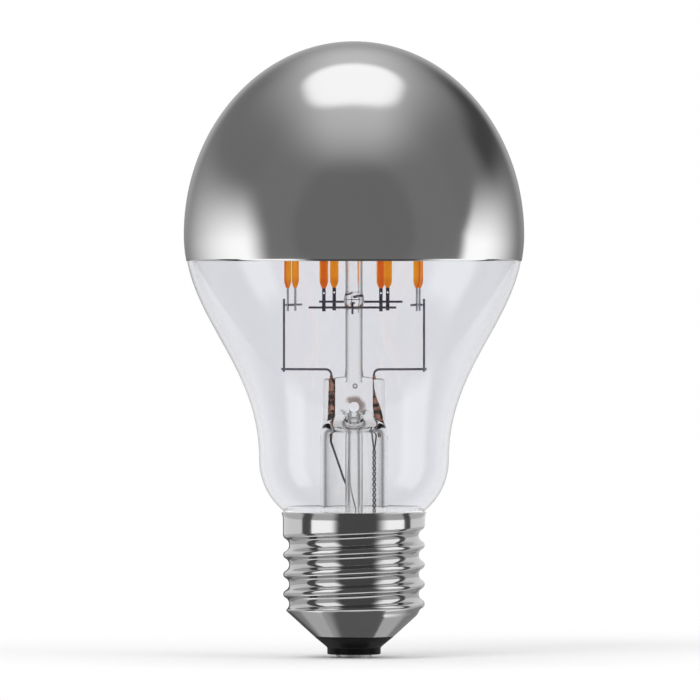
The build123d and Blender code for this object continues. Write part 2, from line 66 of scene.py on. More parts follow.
CAD_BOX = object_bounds()
MM = 0.001
SIDES = 160  # faces around the glass, the crown and the cap
GLASS_LOW, GLASS_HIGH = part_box("glass_envelope")
CROWN_LOW, CROWN_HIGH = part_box("mirror_crown")
STEM_LOW, STEM_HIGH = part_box("stem_flare")
TUBE_LOW, TUBE_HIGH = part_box("exhaust_tube")
PILLAR_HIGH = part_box("glass_pillar")[1]
CAP_LOW, CAP_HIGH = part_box("cap_shell")
FOOT_LOW, FOOT_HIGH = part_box("cap_insulator")
CONTACT_LOW, CONTACT_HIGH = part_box("centre_contact")
CEMENT_LOW, CEMENT_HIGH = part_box("basing_cement")


def setting(name, description, default, **kind):
    """A number in the sidebar, with the unit, the subtype or the limits of its kind."""
    return bpy.props.FloatProperty(name=name, description=description, default=default, **kind)


def length(name, description, default):
    """A size in metres that the sidebar shows as a length."""
    return setting(name, description, default, unit="LENGTH", subtype="DISTANCE", precision=5)


def light(name, description, default):
    """A brightness, where one is white."""
    return setting(name, description, default, min=0.0, max=10.0)


def colour(name, description, default):
    """A linear colour that the sidebar shows as a swatch."""
    return bpy.props.FloatVectorProperty(
        name=name, description=description, default=default, subtype="COLOR", size=3, min=0.0, max=1.0
    )


class BulbGlass(bpy.types.PropertyGroup):
    """Sizes and tints of the blown glass and its mirrored crown."""

    wall: length("Wall", "Thickness of the blown glass", 0.8 * MM)
    belly: length("Belly", "Largest radius of the glass", GLASS_HIGH.x)
    equator: length("Equator", "Height of the largest radius", 78.2 * MM)
    top: length("Top", "Height of the top of the glass", GLASS_HIGH.z)
    shoulder: length("Shoulder", "How far the curve holds upright below the equator", 15.5 * MM)
    throat: length("Throat", "How far the curve holds upright above the waist", 18.1 * MM)
    waist: length("Waist", "Radius of the waist", 17.55 * MM)
    waist_height: length("Waist height", "Height of the waist", 36.6 * MM)
    rim: length("Rim", "Radius of the glass at the cap's rim", 12.75 * MM)
    neck: length("Neck", "Radius of the straight neck in the cap", 11.0 * MM)
    neck_top: length("Neck top", "Height of the upper end of the straight neck", 23.9 * MM)
    coat: length("Coat", "How far the mirror coat stands over the glass", CROWN_HIGH.x - GLASS_HIGH.x)
    coat_gap: length("Coat gap", "Clearance between the coat and the glass", 0.03 * MM)
    crown_edge: length("Crown edge", "Height of the coat's lower edge", CROWN_LOW.z)
    clear: colour("Clear glass", "Tint of the blown glass", (0.90, 0.905, 0.932))
    silver: colour("Silver", "Colour of the mirror coat", (0.74, 0.74, 0.74))


class BulbStem(bpy.types.PropertyGroup):
    """Sizes and tints of the glass stem, its tube and the pillar."""

    tube: length("Tube", "Outside radius of the stem's tube", 6.25 * MM)
    bore: length("Bore", "Inside radius of the stem's tube", 5.25 * MM)
    press_width: length("Press width", "Width of the flat press", 11.4 * MM)
    press_depth: length("Press depth", "Thickness of the press at its lobes", 3.8 * MM)
    lobe: length("Lobe", "Half width of each lobe", 1.25 * MM)
    web: length("Web", "Thickness of the press between its lobes", 2.4 * MM)
    edge: length("Edge", "Rounding of the press's upper edge", 0.7 * MM)
    droop: length("Droop", "How far the upper edge falls towards the lobes", 0.45 * MM)
    pocket: length("Pocket", "How far the hollow reaches up into the press", 1.9 * MM)
    dip: length("Dip", "How far the hollow stays lower beside the exhaust tube", 2.0 * MM)
    dip_reach: length("Dip reach", "Half width of that lower part", 2.7 * MM)
    shoulder: length("Shoulder", "Height where the tube begins to flatten", 41.4 * MM)
    press_low: length("Press foot", "Height where the press begins", 44.4 * MM)
    exhaust: length("Exhaust", "Outside radius of the exhaust tube", TUBE_HIGH.x)
    exhaust_bore: length("Exhaust bore", "Inside radius of the exhaust tube", 0.95 * MM)
    blow_hole: length("Blow hole", "Height of the blow hole", 46.5 * MM)
    bubble: length("Bubble", "Radius of the bubble in the press", 0.5 * MM)
    bubble_aside: length("Bubble aside", "How far right of the axis the bubble lies", 0.2 * MM)
    bubble_height: length("Bubble height", "Height of the bubble", 50.4 * MM)
    pillar: length("Pillar", "Radius of the glass pillar", 1.6 * MM)
    bead: length("Bead", "Radius of the swelling at the support wires", 1.9 * MM)
    bead_height: length("Bead height", "Height of that swelling", 66.15 * MM)
    head: length("Head", "Radius of the pillar's head", PILLAR_HIGH.x)
    clear: colour("Stem glass", "Tint of the stem's glass", (0.985, 0.986, 0.975))
    scorch: colour("Scorch", "Tint of the glass around the blow hole", (0.30, 0.22, 0.18))


class BulbFilaments(bpy.types.PropertyGroup):
    """Sizes and colours of the filaments and their wires."""

    width: length("Width", "Width of a filament", 1.6 * MM)
    depth: length("Depth", "Thickness of a filament", 1.3 * MM)
    taper: length("Taper", "Length of each rounded end", 1.4 * MM)
    strand: length("Strand", "Radius of each strand of the twisted lead", 0.15 * MM)
    wind: length("Wind", "Radius at which the strands wind round each other", 0.235 * MM)
    twist: length("Twist", "Length of one turn of the twisted lead", 2.0 * MM)
    lead: length("Lead", "How far right of the axis the twisted lead hangs", 3.75 * MM)
    knee: length("Knee", "Height below which the twisted lead swings out", 27.3 * MM)
    amber: colour("Outer face", "Phosphor on the outer face", (0.85, 0.14, 0.008))
    honey: colour("Inner face", "Phosphor on the inner face", (0.98, 0.33, 0.012))
    # Painted light: the edge colour is made lighter for the light that shines through the thin silicone
    # there.
    glow: colour("Edge", "Clear silicone along the edges", (1.0, 0.42, 0.02))
    # Painted glow: an emission in place of the light that shines through the silicone.
    painted_glow: light("Lit", "Light that shines through the silicone", 0.45)
    nickel: colour("Nickel", "Colour of the bars, risers and arms", (0.24, 0.225, 0.28))
    # The tabs are one metal in two copies: this one has painted shade, the next one painted highlight, by
    # where the filament stands.
    tab: colour("Tab", "Colour of the inner filaments' tabs", (0.09, 0.08, 0.12))
    bright: colour("Bright tab", "Colour of the left and right filaments' tabs", (0.45, 0.45, 0.49))
    copper: colour("Copper", "Colour of the wires in the press", (0.70, 0.33, 0.21))


class BulbCap(bpy.types.PropertyGroup):
    """Sizes and colours of the screw cap, its insulator and the contact."""

    pitch: length("Pitch", "Rise of the thread in one turn", 3.629 * MM)
    depth: length("Depth", "Depth of the thread", 1.095 * MM)
    crest: length("Crest", "Radius of the thread's crest", 13.1 * MM)
    crest_share: setting("Crest share", "The crest's share of the thread's rounding", 0.36, min=0.1, max=0.9)
    crest_height: length("Crest height", "Height of a crest where it passes the right side", 13.55 * MM)
    collar: length("Collar", "Radius of the plain band", 13.15 * MM)
    lip: length("Lip", "How far the rim turns outwards", 0.28 * MM)
    lip_length: length("Lip length", "Height of the turned rim", 1.5 * MM)
    wall: length("Wall", "Thickness of the sheet", 0.3 * MM)
    foot: length("Foot", "Radius of the cone's lower end", 7.35 * MM)
    slope: setting("Cone", "The cone's side, from level", math.radians(42.4), subtype="ANGLE")
    blend: length("Blend", "Rounding where thread and band meet", 0.25 * MM)
    shoulder: length("Shoulder", "Rounding where the thread meets the cone", 0.6 * MM)
    skirt: length("Skirt", "Radius of the insulator's lower step", 4.95 * MM)
    skirt_top: length("Skirt top", "Height of the top of that step", 1.9 * MM)
    brim: length("Brim", "Height where the insulator meets the shell", 3.9 * MM)
    brim_radius: length("Brim radius", "Radius of the insulator there", 7.25 * MM)
    plate: colour("Plate", "Colour of the plated shell", (0.60, 0.60, 0.60))
    black: colour("Insulator", "Colour of the insulator", (0.005, 0.005, 0.0055))
    tin: colour("Contact", "Colour of the contact", (0.56, 0.56, 0.55))


class BulbDriver(bpy.types.PropertyGroup):
    """The cement's sizes, and the colours of the cement and the driver in the cap."""

    thick: length("Cement height", "Height of the cement's widest part", 1.0 * MM)
    waist: length("Cement waist", "Radius of the cement behind the thread", 11.6 * MM)
    # Painted glow: an emission in place of the light that the neck's glass leads into the cement.
    painted_glow: light("Lit", "Light that the neck's glass leads into the cement", 0.95)
    cement: colour("Cement", "Colour of the basing cement", (0.82, 0.81, 0.79))
    board: colour("Board", "Colour of the fibre board", (0.60, 0.57, 0.42))
    chip: colour("Moulding", "Colour of the moulded packages", (0.018, 0.018, 0.019))
    can: colour("Can", "Colour of the capacitor's sleeve", (0.03, 0.035, 0.06))
    resistor: colour("Resistor", "Colour of the resistor's coat", (0.16, 0.28, 0.42))


class BulbStage(bpy.types.PropertyGroup):
    """The camera and the light around the bulb."""

    distance: length("Distance", "From the camera to the bulb's axis", 2.0)
    eye: length("Eye", "Height of the camera", CROWN_LOW.z)
    aim: length("Aim", "Height that the camera points at", 56.9 * MM)
    aside: length("Aside", "How far left of the axis the camera points", 0.74 * MM)
    field: length("Field", "Width of the view at the bulb's axis", 129.5 * MM)
    ambient: setting("Ambient", "Strength of the even light", 0.86, subtype="FACTOR", min=0.0, max=2.0)
    grey: light("Room", "Brightness of the grey room that the crown mirrors", 0.185)
    overhead: light("Overhead", "Brightness of the panel over the crown", 0.66)
    card: light("Card", "Brightness of the cards that the glass mirrors", 2.2)
    strip: light("Strip", "Brightness of the strips that the cap mirrors", 1.2)
    ground: light("Ground", "Brightness of the ground that the cap mirrors", 0.85)
    dark: light("Dark", "Brightness of the dark front that the cap mirrors", 0.085)
    key: setting("Key", "Power of the key lamp", 3.8, unit="POWER")
    fill: setting("Fill", "Power of the fill lamp", 1.4, unit="POWER")


# Modelling steps shared by the pieces


def begin():
    """Deselects everything, so that the next operator acts on the new piece alone."""
    bpy.ops.object.select_all(action="DESELECT")


def edit():
    """Opens the active piece's mesh with all of it selected."""
    bpy.ops.object.mode_set(mode="EDIT")
    bpy.ops.mesh.select_all(action="SELECT")


def pick(test):
    """Selects the vertices of the mesh in edit mode whose place passes a test."""
    bpy.ops.mesh.select_mode(type="VERT")
    mesh = bmesh.from_edit_mesh(bpy.context.object.data)
    for vertex in mesh.verts:
        vertex.select = test(vertex.co)
    mesh.select_flush_mode()
    bmesh.update_edit_mesh(bpy.context.object.data)


def close_mesh():
    """Merges doubles, points the faces outwards and leaves edit mode with smooth shading."""
    bpy.ops.mesh.select_all(action="SELECT")
    bpy.ops.mesh.remove_doubles(threshold=0.001 * MM)
    bpy.ops.mesh.normals_make_consistent(inside=False)
    bpy.ops.object.mode_set(mode="OBJECT")
    bpy.ops.object.shade_smooth()
    return bpy.context.object


def turned(outline, steps):
    """One vertex extruded along an outline of (radius, height) and spun round the bulb's axis."""
    begin()
    bpy.ops.mesh.primitive_plane_add(size=MM)
    edit()
    bpy.ops.mesh.merge(type="CENTER")
    bpy.ops.transform.translate(value=(outline[0][0], 0, outline[0][1]))
    for (r0, z0), (r1, z1) in zip(outline, outline[1:]):
        bpy.ops.mesh.extrude_vertices_move(TRANSFORM_OT_translate={"value": (r1 - r0, 0, z1 - z0)})
    bpy.ops.mesh.select_all(action="SELECT")
    bpy.ops.mesh.spin(steps=steps, angle=2 * math.pi, center=(0, 0, 0), axis=(0, 0, 1), use_auto_merge=True)
    return close_mesh()


def disc(vertices, radius, middle):
    """A round face, open in edit mode and selected, to extrude from."""
    begin()
    bpy.ops.mesh.primitive_circle_add(vertices=vertices, radius=radius, fill_type="NGON", location=middle)
    bpy.ops.object.transform_apply(location=True)
    edit()


def extrude(step):
    """Extrudes what is selected by a step."""
    bpy.ops.mesh.extrude_region_move(TRANSFORM_OT_translate={"value": step})


def ringed(rings, vertices):
    """A face extruded from ring to ring of (height, half width, half depth) and closed at both ends."""
    height, across, deep = rings[0]
    disc(vertices, across, (0, 0, height))
    bpy.ops.transform.resize(value=(1, deep / across, 1), center_override=(0, 0, height))
    for next_height, next_across, next_deep in rings[1:]:
        extrude((0, 0, next_height - height))
        scale = (next_across / across, next_deep / deep, 1)
        bpy.ops.transform.resize(value=scale, center_override=(0, 0, next_height))
        height, across, deep = next_height, next_across, next_deep
    return close_mesh()


def rounded(rings, vertices):
    """The same with round rings of (height, radius)."""
    return ringed([(z, r, r) for z, r in rings], vertices)


def apply(modifier):
    """Applies a modifier of the active piece."""
    bpy.ops.object.modifier_apply(modifier=modifier.name)


def walled(piece, thickness):
    """Gives an open surface a wall on its inner side."""
    wall = piece.modifiers.new("wall", "SOLIDIFY")
    wall.thickness = thickness
    wall.offset = -1.0
    wall.use_even_offset = True
    apply(wall)


def joined(piece, other, operation):
    """Joins another body to a piece, or cuts it away, and deletes that body."""
    bpy.context.view_layer.objects.active = piece
    cut = piece.modifiers.new("join", "BOOLEAN")
    cut.operation = operation
    cut.solver = "EXACT"
    cut.object = other
    apply(cut)
    if not piece.data.polygons:
        raise RuntimeError(f"joining {other.name} left nothing of {piece.name}")
    bpy.data.objects.remove(other, do_unlink=True)


def finished(piece, name, material, slot, *nodes):
    """Names a piece, gives it its material and sets it on the bulb in place of its CAD nodes."""
    piece.name = name
    piece.data.name = name
    piece.data.materials.clear()
    piece.data.materials.append(material)
    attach(piece, "root")
    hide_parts(*nodes)


def smooth(share):
    """A share from 0 to 1 that starts and ends gently."""
    share = min(1.0, max(0.0, share))
    return share * share * (3 - 2 * share)


def curve(start, first, second, end, count):
    """Points along a cubic curve, without its first one."""
    points = []
    for step in range(1, count + 1):
        t = step / count
        u = 1 - t
        points.append(
            tuple(
                u**3 * a + 3 * u * u * t * b + 3 * u * t * t * c + t**3 * d
                for a, b, c, d in zip(start, first, second, end)
            )
        )
    return points


def envelope_outline(sizes, inset):
    """The glass from its neck's lower end to its top, moved inwards by inset, as (radius, height)."""
    handle = 0.5523  # a quarter ellipse's handles, as a share of its radii
    equator, waist_height, neck_top = sizes.equator, sizes.waist_height, sizes.neck_top
    belly, waist = sizes.belly - inset, sizes.waist - inset
    top, neck = sizes.top - inset, sizes.neck - inset
    drop, step = waist_height - CAP_HIGH.z, sizes.waist - sizes.rim
    arc = (step**2 + drop**2) / (2 * step)
    turn = math.asin(drop / arc)
    middle = sizes.waist - arc
    arc -= inset
    rim = (middle + arc * math.cos(turn), waist_height - arc * math.sin(turn))
    fall = (rim[1] - neck_top) / 3
    points = [(neck, GLASS_LOW.z), (neck, (GLASS_LOW.z + neck_top) / 2), (neck, neck_top)]
    before_rim = (rim[0] - fall * math.sin(turn), rim[1] - fall * math.cos(turn))
    points += curve(points[-1], (neck, neck_top + fall), before_rim, rim, 8)
    for count in range(15, -1, -1):
        angle = turn * count / 16
        points.append((middle + arc * math.cos(angle), waist_height - arc * math.sin(angle)))
    throat, shoulder = (waist, waist_height + sizes.throat), (belly, equator - sizes.shoulder)
    points += curve((waist, waist_height), throat, shoulder, (belly, equator), 40)
    above_equator = (belly, equator + (top - equator) * handle)
    points += curve((belly, equator), above_equator, (belly * handle, top), (0, top), 44)
    return points


# Node trees


class Signal:
    """A node's output that can be reckoned with: each step adds a node to its tree."""

    def __init__(self, socket):
        self.socket = socket
        self.tree = socket.id_data

    def math(self, operation, other=0.0):
        """A math node's result from this signal and another one or a number."""
        return Signal(added(self.tree, "ShaderNodeMath", {0: self, 1: other}, operation=operation).outputs[0])

    def __add__(self, other):
        return self.math("ADD", other)

    def __sub__(self, other):
        return self.math("SUBTRACT", other)

    def __rsub__(self, other):
        return self * -1.0 + other

    def __mul__(self, other):
        return self.math("MULTIPLY", other)

    def __truediv__(self, other):
        return self.math("DIVIDE", other)

    def __pow__(self, other):
        return self.math("POWER", other)

    def __abs__(self):
        return self.math("ABSOLUTE")

    def least(self, other):
        """The smaller of two."""
        return self.math("MINIMUM", other)

    def most(self, other):
        """The larger of two."""
        return self.math("MAXIMUM", other)

    def over(self, limit):
        """One above a limit, and zero below it."""
        return self.math("GREATER_THAN", limit)

    def ease(self, low, high, start=0.0, end=1.0):
        """A smooth step from start to end as the signal goes from low to high."""
        inputs = {"Value": self, "From Min": low, "From Max": high, "To Min": start, "To Max": end}
        node = added(self.tree, "ShaderNodeMapRange", inputs, interpolation_type="SMOOTHSTEP")
        return Signal(node.outputs["Result"])

    def window(self, low, high, soft_low, soft_high):
        """One between low and high, fading to zero over the soft edges."""
        rise = self.ease(low - soft_low, low + soft_low)
        return rise * self.ease(high - soft_high, high + soft_high, 1.0, 0.0)

    def mix(self, first, second):
        """A colour between two, at this share of the way."""
        node = added(self.tree, "ShaderNodeMix", {"Factor": self}, data_type="RGBA")
        for name, source in (("A", first), ("B", second)):
            socket = next(s for s in node.inputs if s.name == name and s.type == "RGBA")
            feed(socket, source if isinstance(source, Signal) else (*source, 1.0))
        return Signal(next(s for s in node.outputs if s.type == "RGBA"))


def feed(socket, source):
    """Links a signal or a node's first output to an input, or sets it to a plain value."""
    if isinstance(source, Signal):
        source.tree.links.new(source.socket, socket)
    elif isinstance(source, bpy.types.Node):
        source.id_data.links.new(source.outputs[0], socket)
    else:
        socket.default_value = source


def fill(node, inputs):
    """Feeds a node's inputs, by name or by number."""
    for key, source in inputs.items():
        feed(node.inputs[key], source)


def added(tree, kind, inputs=None, **settings):
    """Adds a node with its settings and what feeds its inputs."""
    node = tree.nodes.new(kind)
    for key, value in settings.items():
        setattr(node, key, value)
    fill(node, inputs or {})
    return node


def place(tree):
    """The place on a piece, in Object coordinates."""
    return Signal(added(tree, "ShaderNodeTexCoord").outputs["Object"])


def split(tree, vector):
    """The X, Y and Z of a vector."""
    return [Signal(socket) for socket in added(tree, "ShaderNodeSeparateXYZ", {0: vector}).outputs]


def rays(tree):
    """What the light path tells of a ray, by name."""
    return {socket.name: Signal(socket) for socket in added(tree, "ShaderNodeLightPath").outputs}


def show(tree, share, first, second, end="Material Output"):
    """Ends a tree in a share of the second shader over the first one."""
    mix = added(tree, "ShaderNodeMixShader", {0: share, 1: first, 2: second})
    feed(tree.nodes[end].inputs["Surface"], mix)


# Finishes


def grain(tree, scale, stretch=(1, 1, 1), detail=4.0):
    """A noise on Object coordinates."""
    mapping = added(tree, "ShaderNodeMapping", {"Vector": place(tree), "Scale": stretch})
    noise = added(tree, "ShaderNodeTexNoise", {"Vector": mapping, "Scale": scale, "Detail": detail})
    return Signal(noise.outputs["Fac"])


def relief(height, strength, distance):
    """A bump that follows a height."""
    inputs = {"Height": height, "Strength": strength, "Distance": distance}
    return added(height.tree, "ShaderNodeBump", inputs)


def tone(base, share):
    """A colour made darker or lighter by a share."""
    return tuple(min(1.0, channel * share) for channel in base)


def principled(name):
    """A new material, its tree and its shader."""
    material = bpy.data.materials.new(name)
    material.use_nodes = True
    return material, material.node_tree, shader(material)


def shader(material):
    """A material's Principled shader."""
    return material.node_tree.nodes["Principled BSDF"]


def paint(body):
    """The colour that feeds a shader."""
    return Signal(body.inputs["Base Color"].links[0].from_socket)


def surface(name, base, spread, scale, rough, bump, metal=0.0, stretch=(1, 1, 1)):
    """A material whose tone, roughness and surface follow a noise at the scale of the real one.

    The tone spreads by a share, rough holds two roughnesses, and bump holds a strength and a depth.
    """
    material, tree, body = principled(name)
    noise = grain(tree, scale, stretch)
    look = {
        "Base Color": noise.mix(tone(base, 1 - spread), tone(base, 1 + spread)),
        "Roughness": noise.ease(0.25, 0.75, *rough),
        "Metallic": metal,
        "Normal": relief(grain(tree, scale * 6, stretch), *bump),
    }
    fill(body, look)
    return material


def glass(name, tint, scale, wave):
    """Clear glass with faint waves and tint, which lets the lamps shine on what is inside it."""
    material, tree, body = principled(name)
    noise = grain(tree, scale, detail=1.0)
    look = {
        "Base Color": noise.mix(tone(tint, 0.985), tone(tint, 1.01)),
        "Roughness": 0.0,
        "IOR": 1.5,
        "Transmission Weight": 1.0,
        "Normal": relief(noise, 1.0, wave),
    }
    fill(body, look)
    clear = added(tree, "ShaderNodeBsdfTransparent", {"Color": (*tint, 1.0)})
    show(tree, rays(tree)["Is Shadow Ray"], body, clear)
    return material


def stem_glass(stem):
    """Pressed glass, scorched brown around the blow hole."""
    material = glass("stem_glass", stem.clear, 160.0, 0.006 * MM)
    tree, body = material.node_tree, shader(material)
    aside, _, height = split(tree, place(tree))
    above = height - stem.blow_hole
    reach = (aside**2.0 + above**2.0).math("SQRT")
    ragged = grain(tree, 900.0) * (1.2 * MM) + reach
    around = above.math("ARCTAN2", aside).math("DEGREES")
    scorched = around.window(-35, 140, 17.2, 17.2) * ragged.ease(2.1 * MM, 3.0 * MM, 0.92, 0.0)
    feed(body.inputs["Base Color"], scorched.mix(paint(body), stem.scorch))
    return material


def phosphor(sizes, low, high):
    """Phosphor in silicone: redder on the outer face, yellower on the inner one, dark where a tab ends, with
    painted lighter edges and a painted glow for the light that shines through the silicone.
    """
    material, tree, body = principled("phosphor")
    spot = added(tree, "ShaderNodeTexCoord")
    x, y, z = split(tree, Signal(spot.outputs["Object"]))
    flat = added(tree, "ShaderNodeCombineXYZ", {"X": x, "Y": y})
    away = added(tree, "ShaderNodeVectorMath", {0: flat}, operation="NORMALIZE")
    sides = {0: away, 1: Signal(spot.outputs["Normal"])}
    facing = added(tree, "ShaderNodeVectorMath", sides, operation="DOT_PRODUCT")
    outer = Signal(facing.outputs["Value"]).ease(-0.5, 0.6)
    mottled = grain(tree, 2200.0) * 0.3 + outer
    shade = (mottled - 0.15).mix(sizes.honey, sizes.amber)
    # Painted light: the edges, where the silicone is thin, are made lighter for the light that shines through
    # them.
    strip = added(tree, "ShaderNodeAttribute", attribute_name="across")
    rim = abs(Signal(strip.outputs["Fac"])).ease(0.45, 0.95, 0.0, 0.75)
    shade = rim.mix(shade, sizes.glow)
    tab_end, clear_of_tab = 1.0 * MM, 2.4 * MM
    ends = z.ease(low + tab_end, low + clear_of_tab, 1.0, 0.0) + z.ease(high - clear_of_tab, high - tab_end)
    shade = (ends * 0.35).mix(shade, tone(sizes.amber, 0.55))
    look = {
        "Base Color": shade,
        # Painted glow: the shade also emits light, in place of the light that shines through the silicone.
        "Emission Color": shade,
        "Emission Strength": sizes.painted_glow,
        "Roughness": grain(tree, 900.0).ease(0.3, 0.7, 0.28, 0.42),
        "Subsurface Weight": 0.25,
        "Subsurface Radius": (1.0, 0.4, 0.1),
        "Subsurface Scale": 0.4 * MM,
        "Specular IOR Level": 0.12,
        "Coat Weight": 0.06,
        "Coat Roughness": 0.12,
        "Normal": relief(grain(tree, 1500.0, (1, 1, 0.35)), 0.35, 0.03 * MM),
    }
    fill(body, look)
    return material


def seal_copper(sizes):
    """Copper wire in glass, with dark blotches painted on it for the broken reflections that the press's
    lobes show of the wire.
    """
    material = surface("seal_copper", sizes.copper, 0.3, 1500.0, (0.2, 0.45), (0.6, 0.05 * MM), 0.7)
    body = shader(material)
    # Painted reflection: dark blotches in place of the broken reflections of the wire in the glass lobes.
    painted_mottle = grain(material.node_tree, 1600.0, (1, 1, 0.7), 3.0).ease(0.45, 0.57)
    feed(body.inputs["Base Color"], painted_mottle.mix(tone(sizes.copper, 0.06), paint(body)))
    return material


def plated(cap):
    """Plated sheet, drawn round the axis, brighter where the thread's crests are rubbed."""
    material = surface("cap_plate", cap.plate, 0.02, 300.0, (0.09, 0.13), (0.02, 0.01 * MM), 1.0, (1, 1, 3))
    tree, body = material.node_tree, shader(material)
    x, y, _ = split(tree, place(tree))
    radius = (x**2.0 + y**2.0).math("SQRT")
    rubbed = radius.ease(cap.crest - 0.35 * MM, cap.crest, 0.0, 0.6)
    feed(body.inputs["Base Color"], rubbed.mix(paint(body), tone(cap.plate, 1.18)))
    return material


def dress(node, material):
    """Gives a CAD node a better material in its own slots."""
    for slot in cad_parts[node].material_slots:
        slot.material = material


# Pieces


class BULB_OT_envelope(bpy.types.Operator):
    """Blow the clear glass"""

    bl_idname = "bulb.envelope"
    bl_label = "Glass envelope"

    def execute(self, context):
        sizes = context.scene.bulb_glass
        piece = turned(envelope_outline(sizes, 0.0), SIDES)
        walled(piece, sizes.wall)
        material = glass("clear_glass", sizes.clear, 45.0, 0.02 * MM)
        finished(piece, "blown_glass", material, "clear_glass", "glass_envelope")
        return {"FINISHED"}


class BULB_OT_crown(bpy.types.Operator):
    """Lay the mirror coat over the dome"""

    bl_idname = "bulb.crown"
    bl_label = "Mirror crown"

    def execute(self, context):
        sizes = context.scene.bulb_glass
        turned(envelope_outline(sizes, -sizes.coat), SIDES)
        edit()
        bpy.ops.mesh.bisect(plane_co=(0, 0, sizes.crown_edge), plane_no=(0, 0, 1), clear_inner=True)
        piece = close_mesh()
        walled(piece, sizes.coat - sizes.coat_gap)
        material = surface("silver", sizes.silver, 0.02, 70.0, (0.10, 0.13), (0.02, 0.01 * MM), 1.0)
        finished(piece, "silver_crown", material, "crown_mirror", "mirror_crown")
        return {"FINISHED"}


class BULB_OT_stem(bpy.types.Operator):
    """Flare, press and fuse the stem with its exhaust tube and pillar"""

    bl_idname = "bulb.stem"
    bl_label = "Glass stem"

    def flat(self, sizes, z):
        """How far the tube is pressed flat at a height, from 0 to 1."""
        return smooth((z - sizes.shoulder) / (sizes.press_low - sizes.shoulder))

    def half_width(self, sizes, z):
        """Half width of the stem at a height of its tube or press."""
        return sizes.tube + (sizes.press_width / 2 - sizes.tube) * self.flat(sizes, z)

    def half_depth(self, sizes, x, z):
        """Half thickness of the stem at a place: round in the tube, with two lobes and a web in the press."""
        half = self.half_width(sizes, z)
        tube = math.sqrt(max(0.0, half**2 - x**2))
        aside = (abs(x) - half + sizes.lobe) / sizes.lobe
        lobe = sizes.press_depth / 2 * math.sqrt(max(0.0, 1 - aside**2))
        pressed = max(lobe, sizes.web / 2) if aside < 0 else lobe
        return tube + (pressed - tube) * self.flat(sizes, z)

    def flare(self, lip, foot, tube, swing, count):
        """Rings of the flare, up from a lip at its foot, and of the tube over it, as (height, radius)."""
        low = STEM_LOW.z
        upright, end, gap = 1.1, 1.275, 0.1  # heights over the lip, as shares of the lip's own
        bend = curve((lip, foot), (tube * swing, low), (tube, low * upright), (tube, low * end), 10)
        rings = [(foot, lip)] + [(z, r) for r, z in bend]
        return rings + [(low * (end + gap * step), tube) for step in range(1, count + 1)]

    def outside(self, sizes):
        """The flare, the tube and the flat press as one body."""
        low, foot, top, edge = sizes.shoulder, sizes.press_low, STEM_HIGH.z, sizes.edge
        narrowing, blunt = 0.14, 0.35  # what the upper edge loses in width, and keeps in thickness
        slope_height, slope_width = 3 * edge, 0.75  # how far down and across it falls
        rings = self.flare(STEM_HIGH.x, STEM_LOW.z, sizes.tube, 1.2, 5)
        heights = [low + (foot - low) * step / 12 for step in range(-3, 13)]
        heights += [foot + (top - edge - foot) * step / 10 for step in range(1, 11)]
        rings += [(z, self.half_width(sizes, z)) for z in heights]
        for step in range(1, 6):
            rings.append((top - edge * (1 - math.sin(math.pi / 2 * step / 6)), rings[-1][1]))
        body = rounded(rings, 96)
        for vertex in body.data.vertices:
            x, y, z = vertex.co
            if z > low:
                half, depth = self.half_width(sizes, z), self.half_depth(sizes, x, z)
                rise = max(0.0, (z - top + edge) / edge)
                shrink = math.sqrt(max(0.0, 1 - rise**2))
                vertex.co.x = x * (1 - narrowing * (1 - shrink))
                vertex.co.y = math.copysign(depth * (blunt + (1 - blunt) * shrink), y) if depth else 0.0
                slope = max(0.0, z - top + slope_height) / slope_height
                vertex.co.z = z - sizes.droop * slope * min(1.0, abs(x) / (slope_width * half)) ** 2
        return body

    def hollow(self, sizes):
        """What is cut out of it: the tube's bore, ending in two rounded pockets beside the exhaust tube."""
        bore, wall = sizes.bore, sizes.tube - sizes.bore
        start, end = sizes.shoulder - 2 * MM, sizes.press_low + sizes.pocket
        dip_start, thinnest = 0.35, 0.1 * MM  # where the dip begins, and the least half depth
        rings = self.flare(STEM_HIGH.x - wall, STEM_LOW.z - 0.5 * MM, bore, 1.25, 4)
        for step in range(25):
            share = step / 24
            rings.append((start + (end - start) * share, bore * math.sqrt(1 - 0.86 * share**2.6)))
        body = rounded(rings, 96)
        for vertex in body.data.vertices:
            x, y, z = vertex.co
            if z > start:
                share = (z - start) / (end - start)
                inside = self.half_depth(sizes, x, z) - wall * (0.9 - 0.25 * share)
                ending = math.sqrt(max(0.05, 1 - share**6))
                vertex.co.y = math.copysign(min(abs(y), max(thinnest, inside) * ending), y)
                dip = math.cos(math.pi / 2 * min(1.0, abs(x) / sizes.dip_reach)) ** 2
                vertex.co.z = z - sizes.dip * dip * max(0.0, (share - dip_start) / (1 - dip_start))
        return body

    def exhaust(self, sizes):
        """The exhaust tube, from its sealed tip up to where it widens into the press."""
        tip, rod = TUBE_LOW.z, sizes.exhaust
        straight_end, widening = sizes.press_low - 2.4 * MM, 3.4 * MM
        rings = [(tip, rod * 0.4), (tip + 0.3 * MM, rod * 0.8), (tip + 1.0 * MM, rod), (straight_end, rod)]
        for step in range(1, 7):
            share = step / 6
            rings.append((straight_end + widening * share, rod * (1 + 0.55 * share**2.5)))
        return rounded(rings, 48)

    def pillar(self, sizes):
        """The rod on the press, with its bead at the support wires and its head under the dome."""
        rod, low, top = sizes.pillar, STEM_HIGH.z, PILLAR_HIGH.z
        head, dome = 4.4 * MM, 1.4 * MM
        rings = [(low - 1.3 * MM, rod * 1.2), (low + 0.2 * MM, rod * 1.08), (low + 1.4 * MM, rod)]
        for step in range(-6, 7):
            swell = (1 + math.cos(math.pi * step / 6)) / 2
            rings.append((sizes.bead_height + 0.3 * step * MM, rod + (sizes.bead - rod) * swell))
        rings.append((top - head, rod))
        for step in range(1, 9):
            share = (1 - math.cos(math.pi * step / 8)) / 2
            rings.append((top - head + (head - dome) * step / 8, rod + (sizes.head - rod) * share))
        for step in range(1, 8):
            angle = math.pi / 2 * step / 8
            rings.append((top - dome * (1 - math.sin(angle)), sizes.head * math.cos(angle)))
        return rounded(rings, 48)

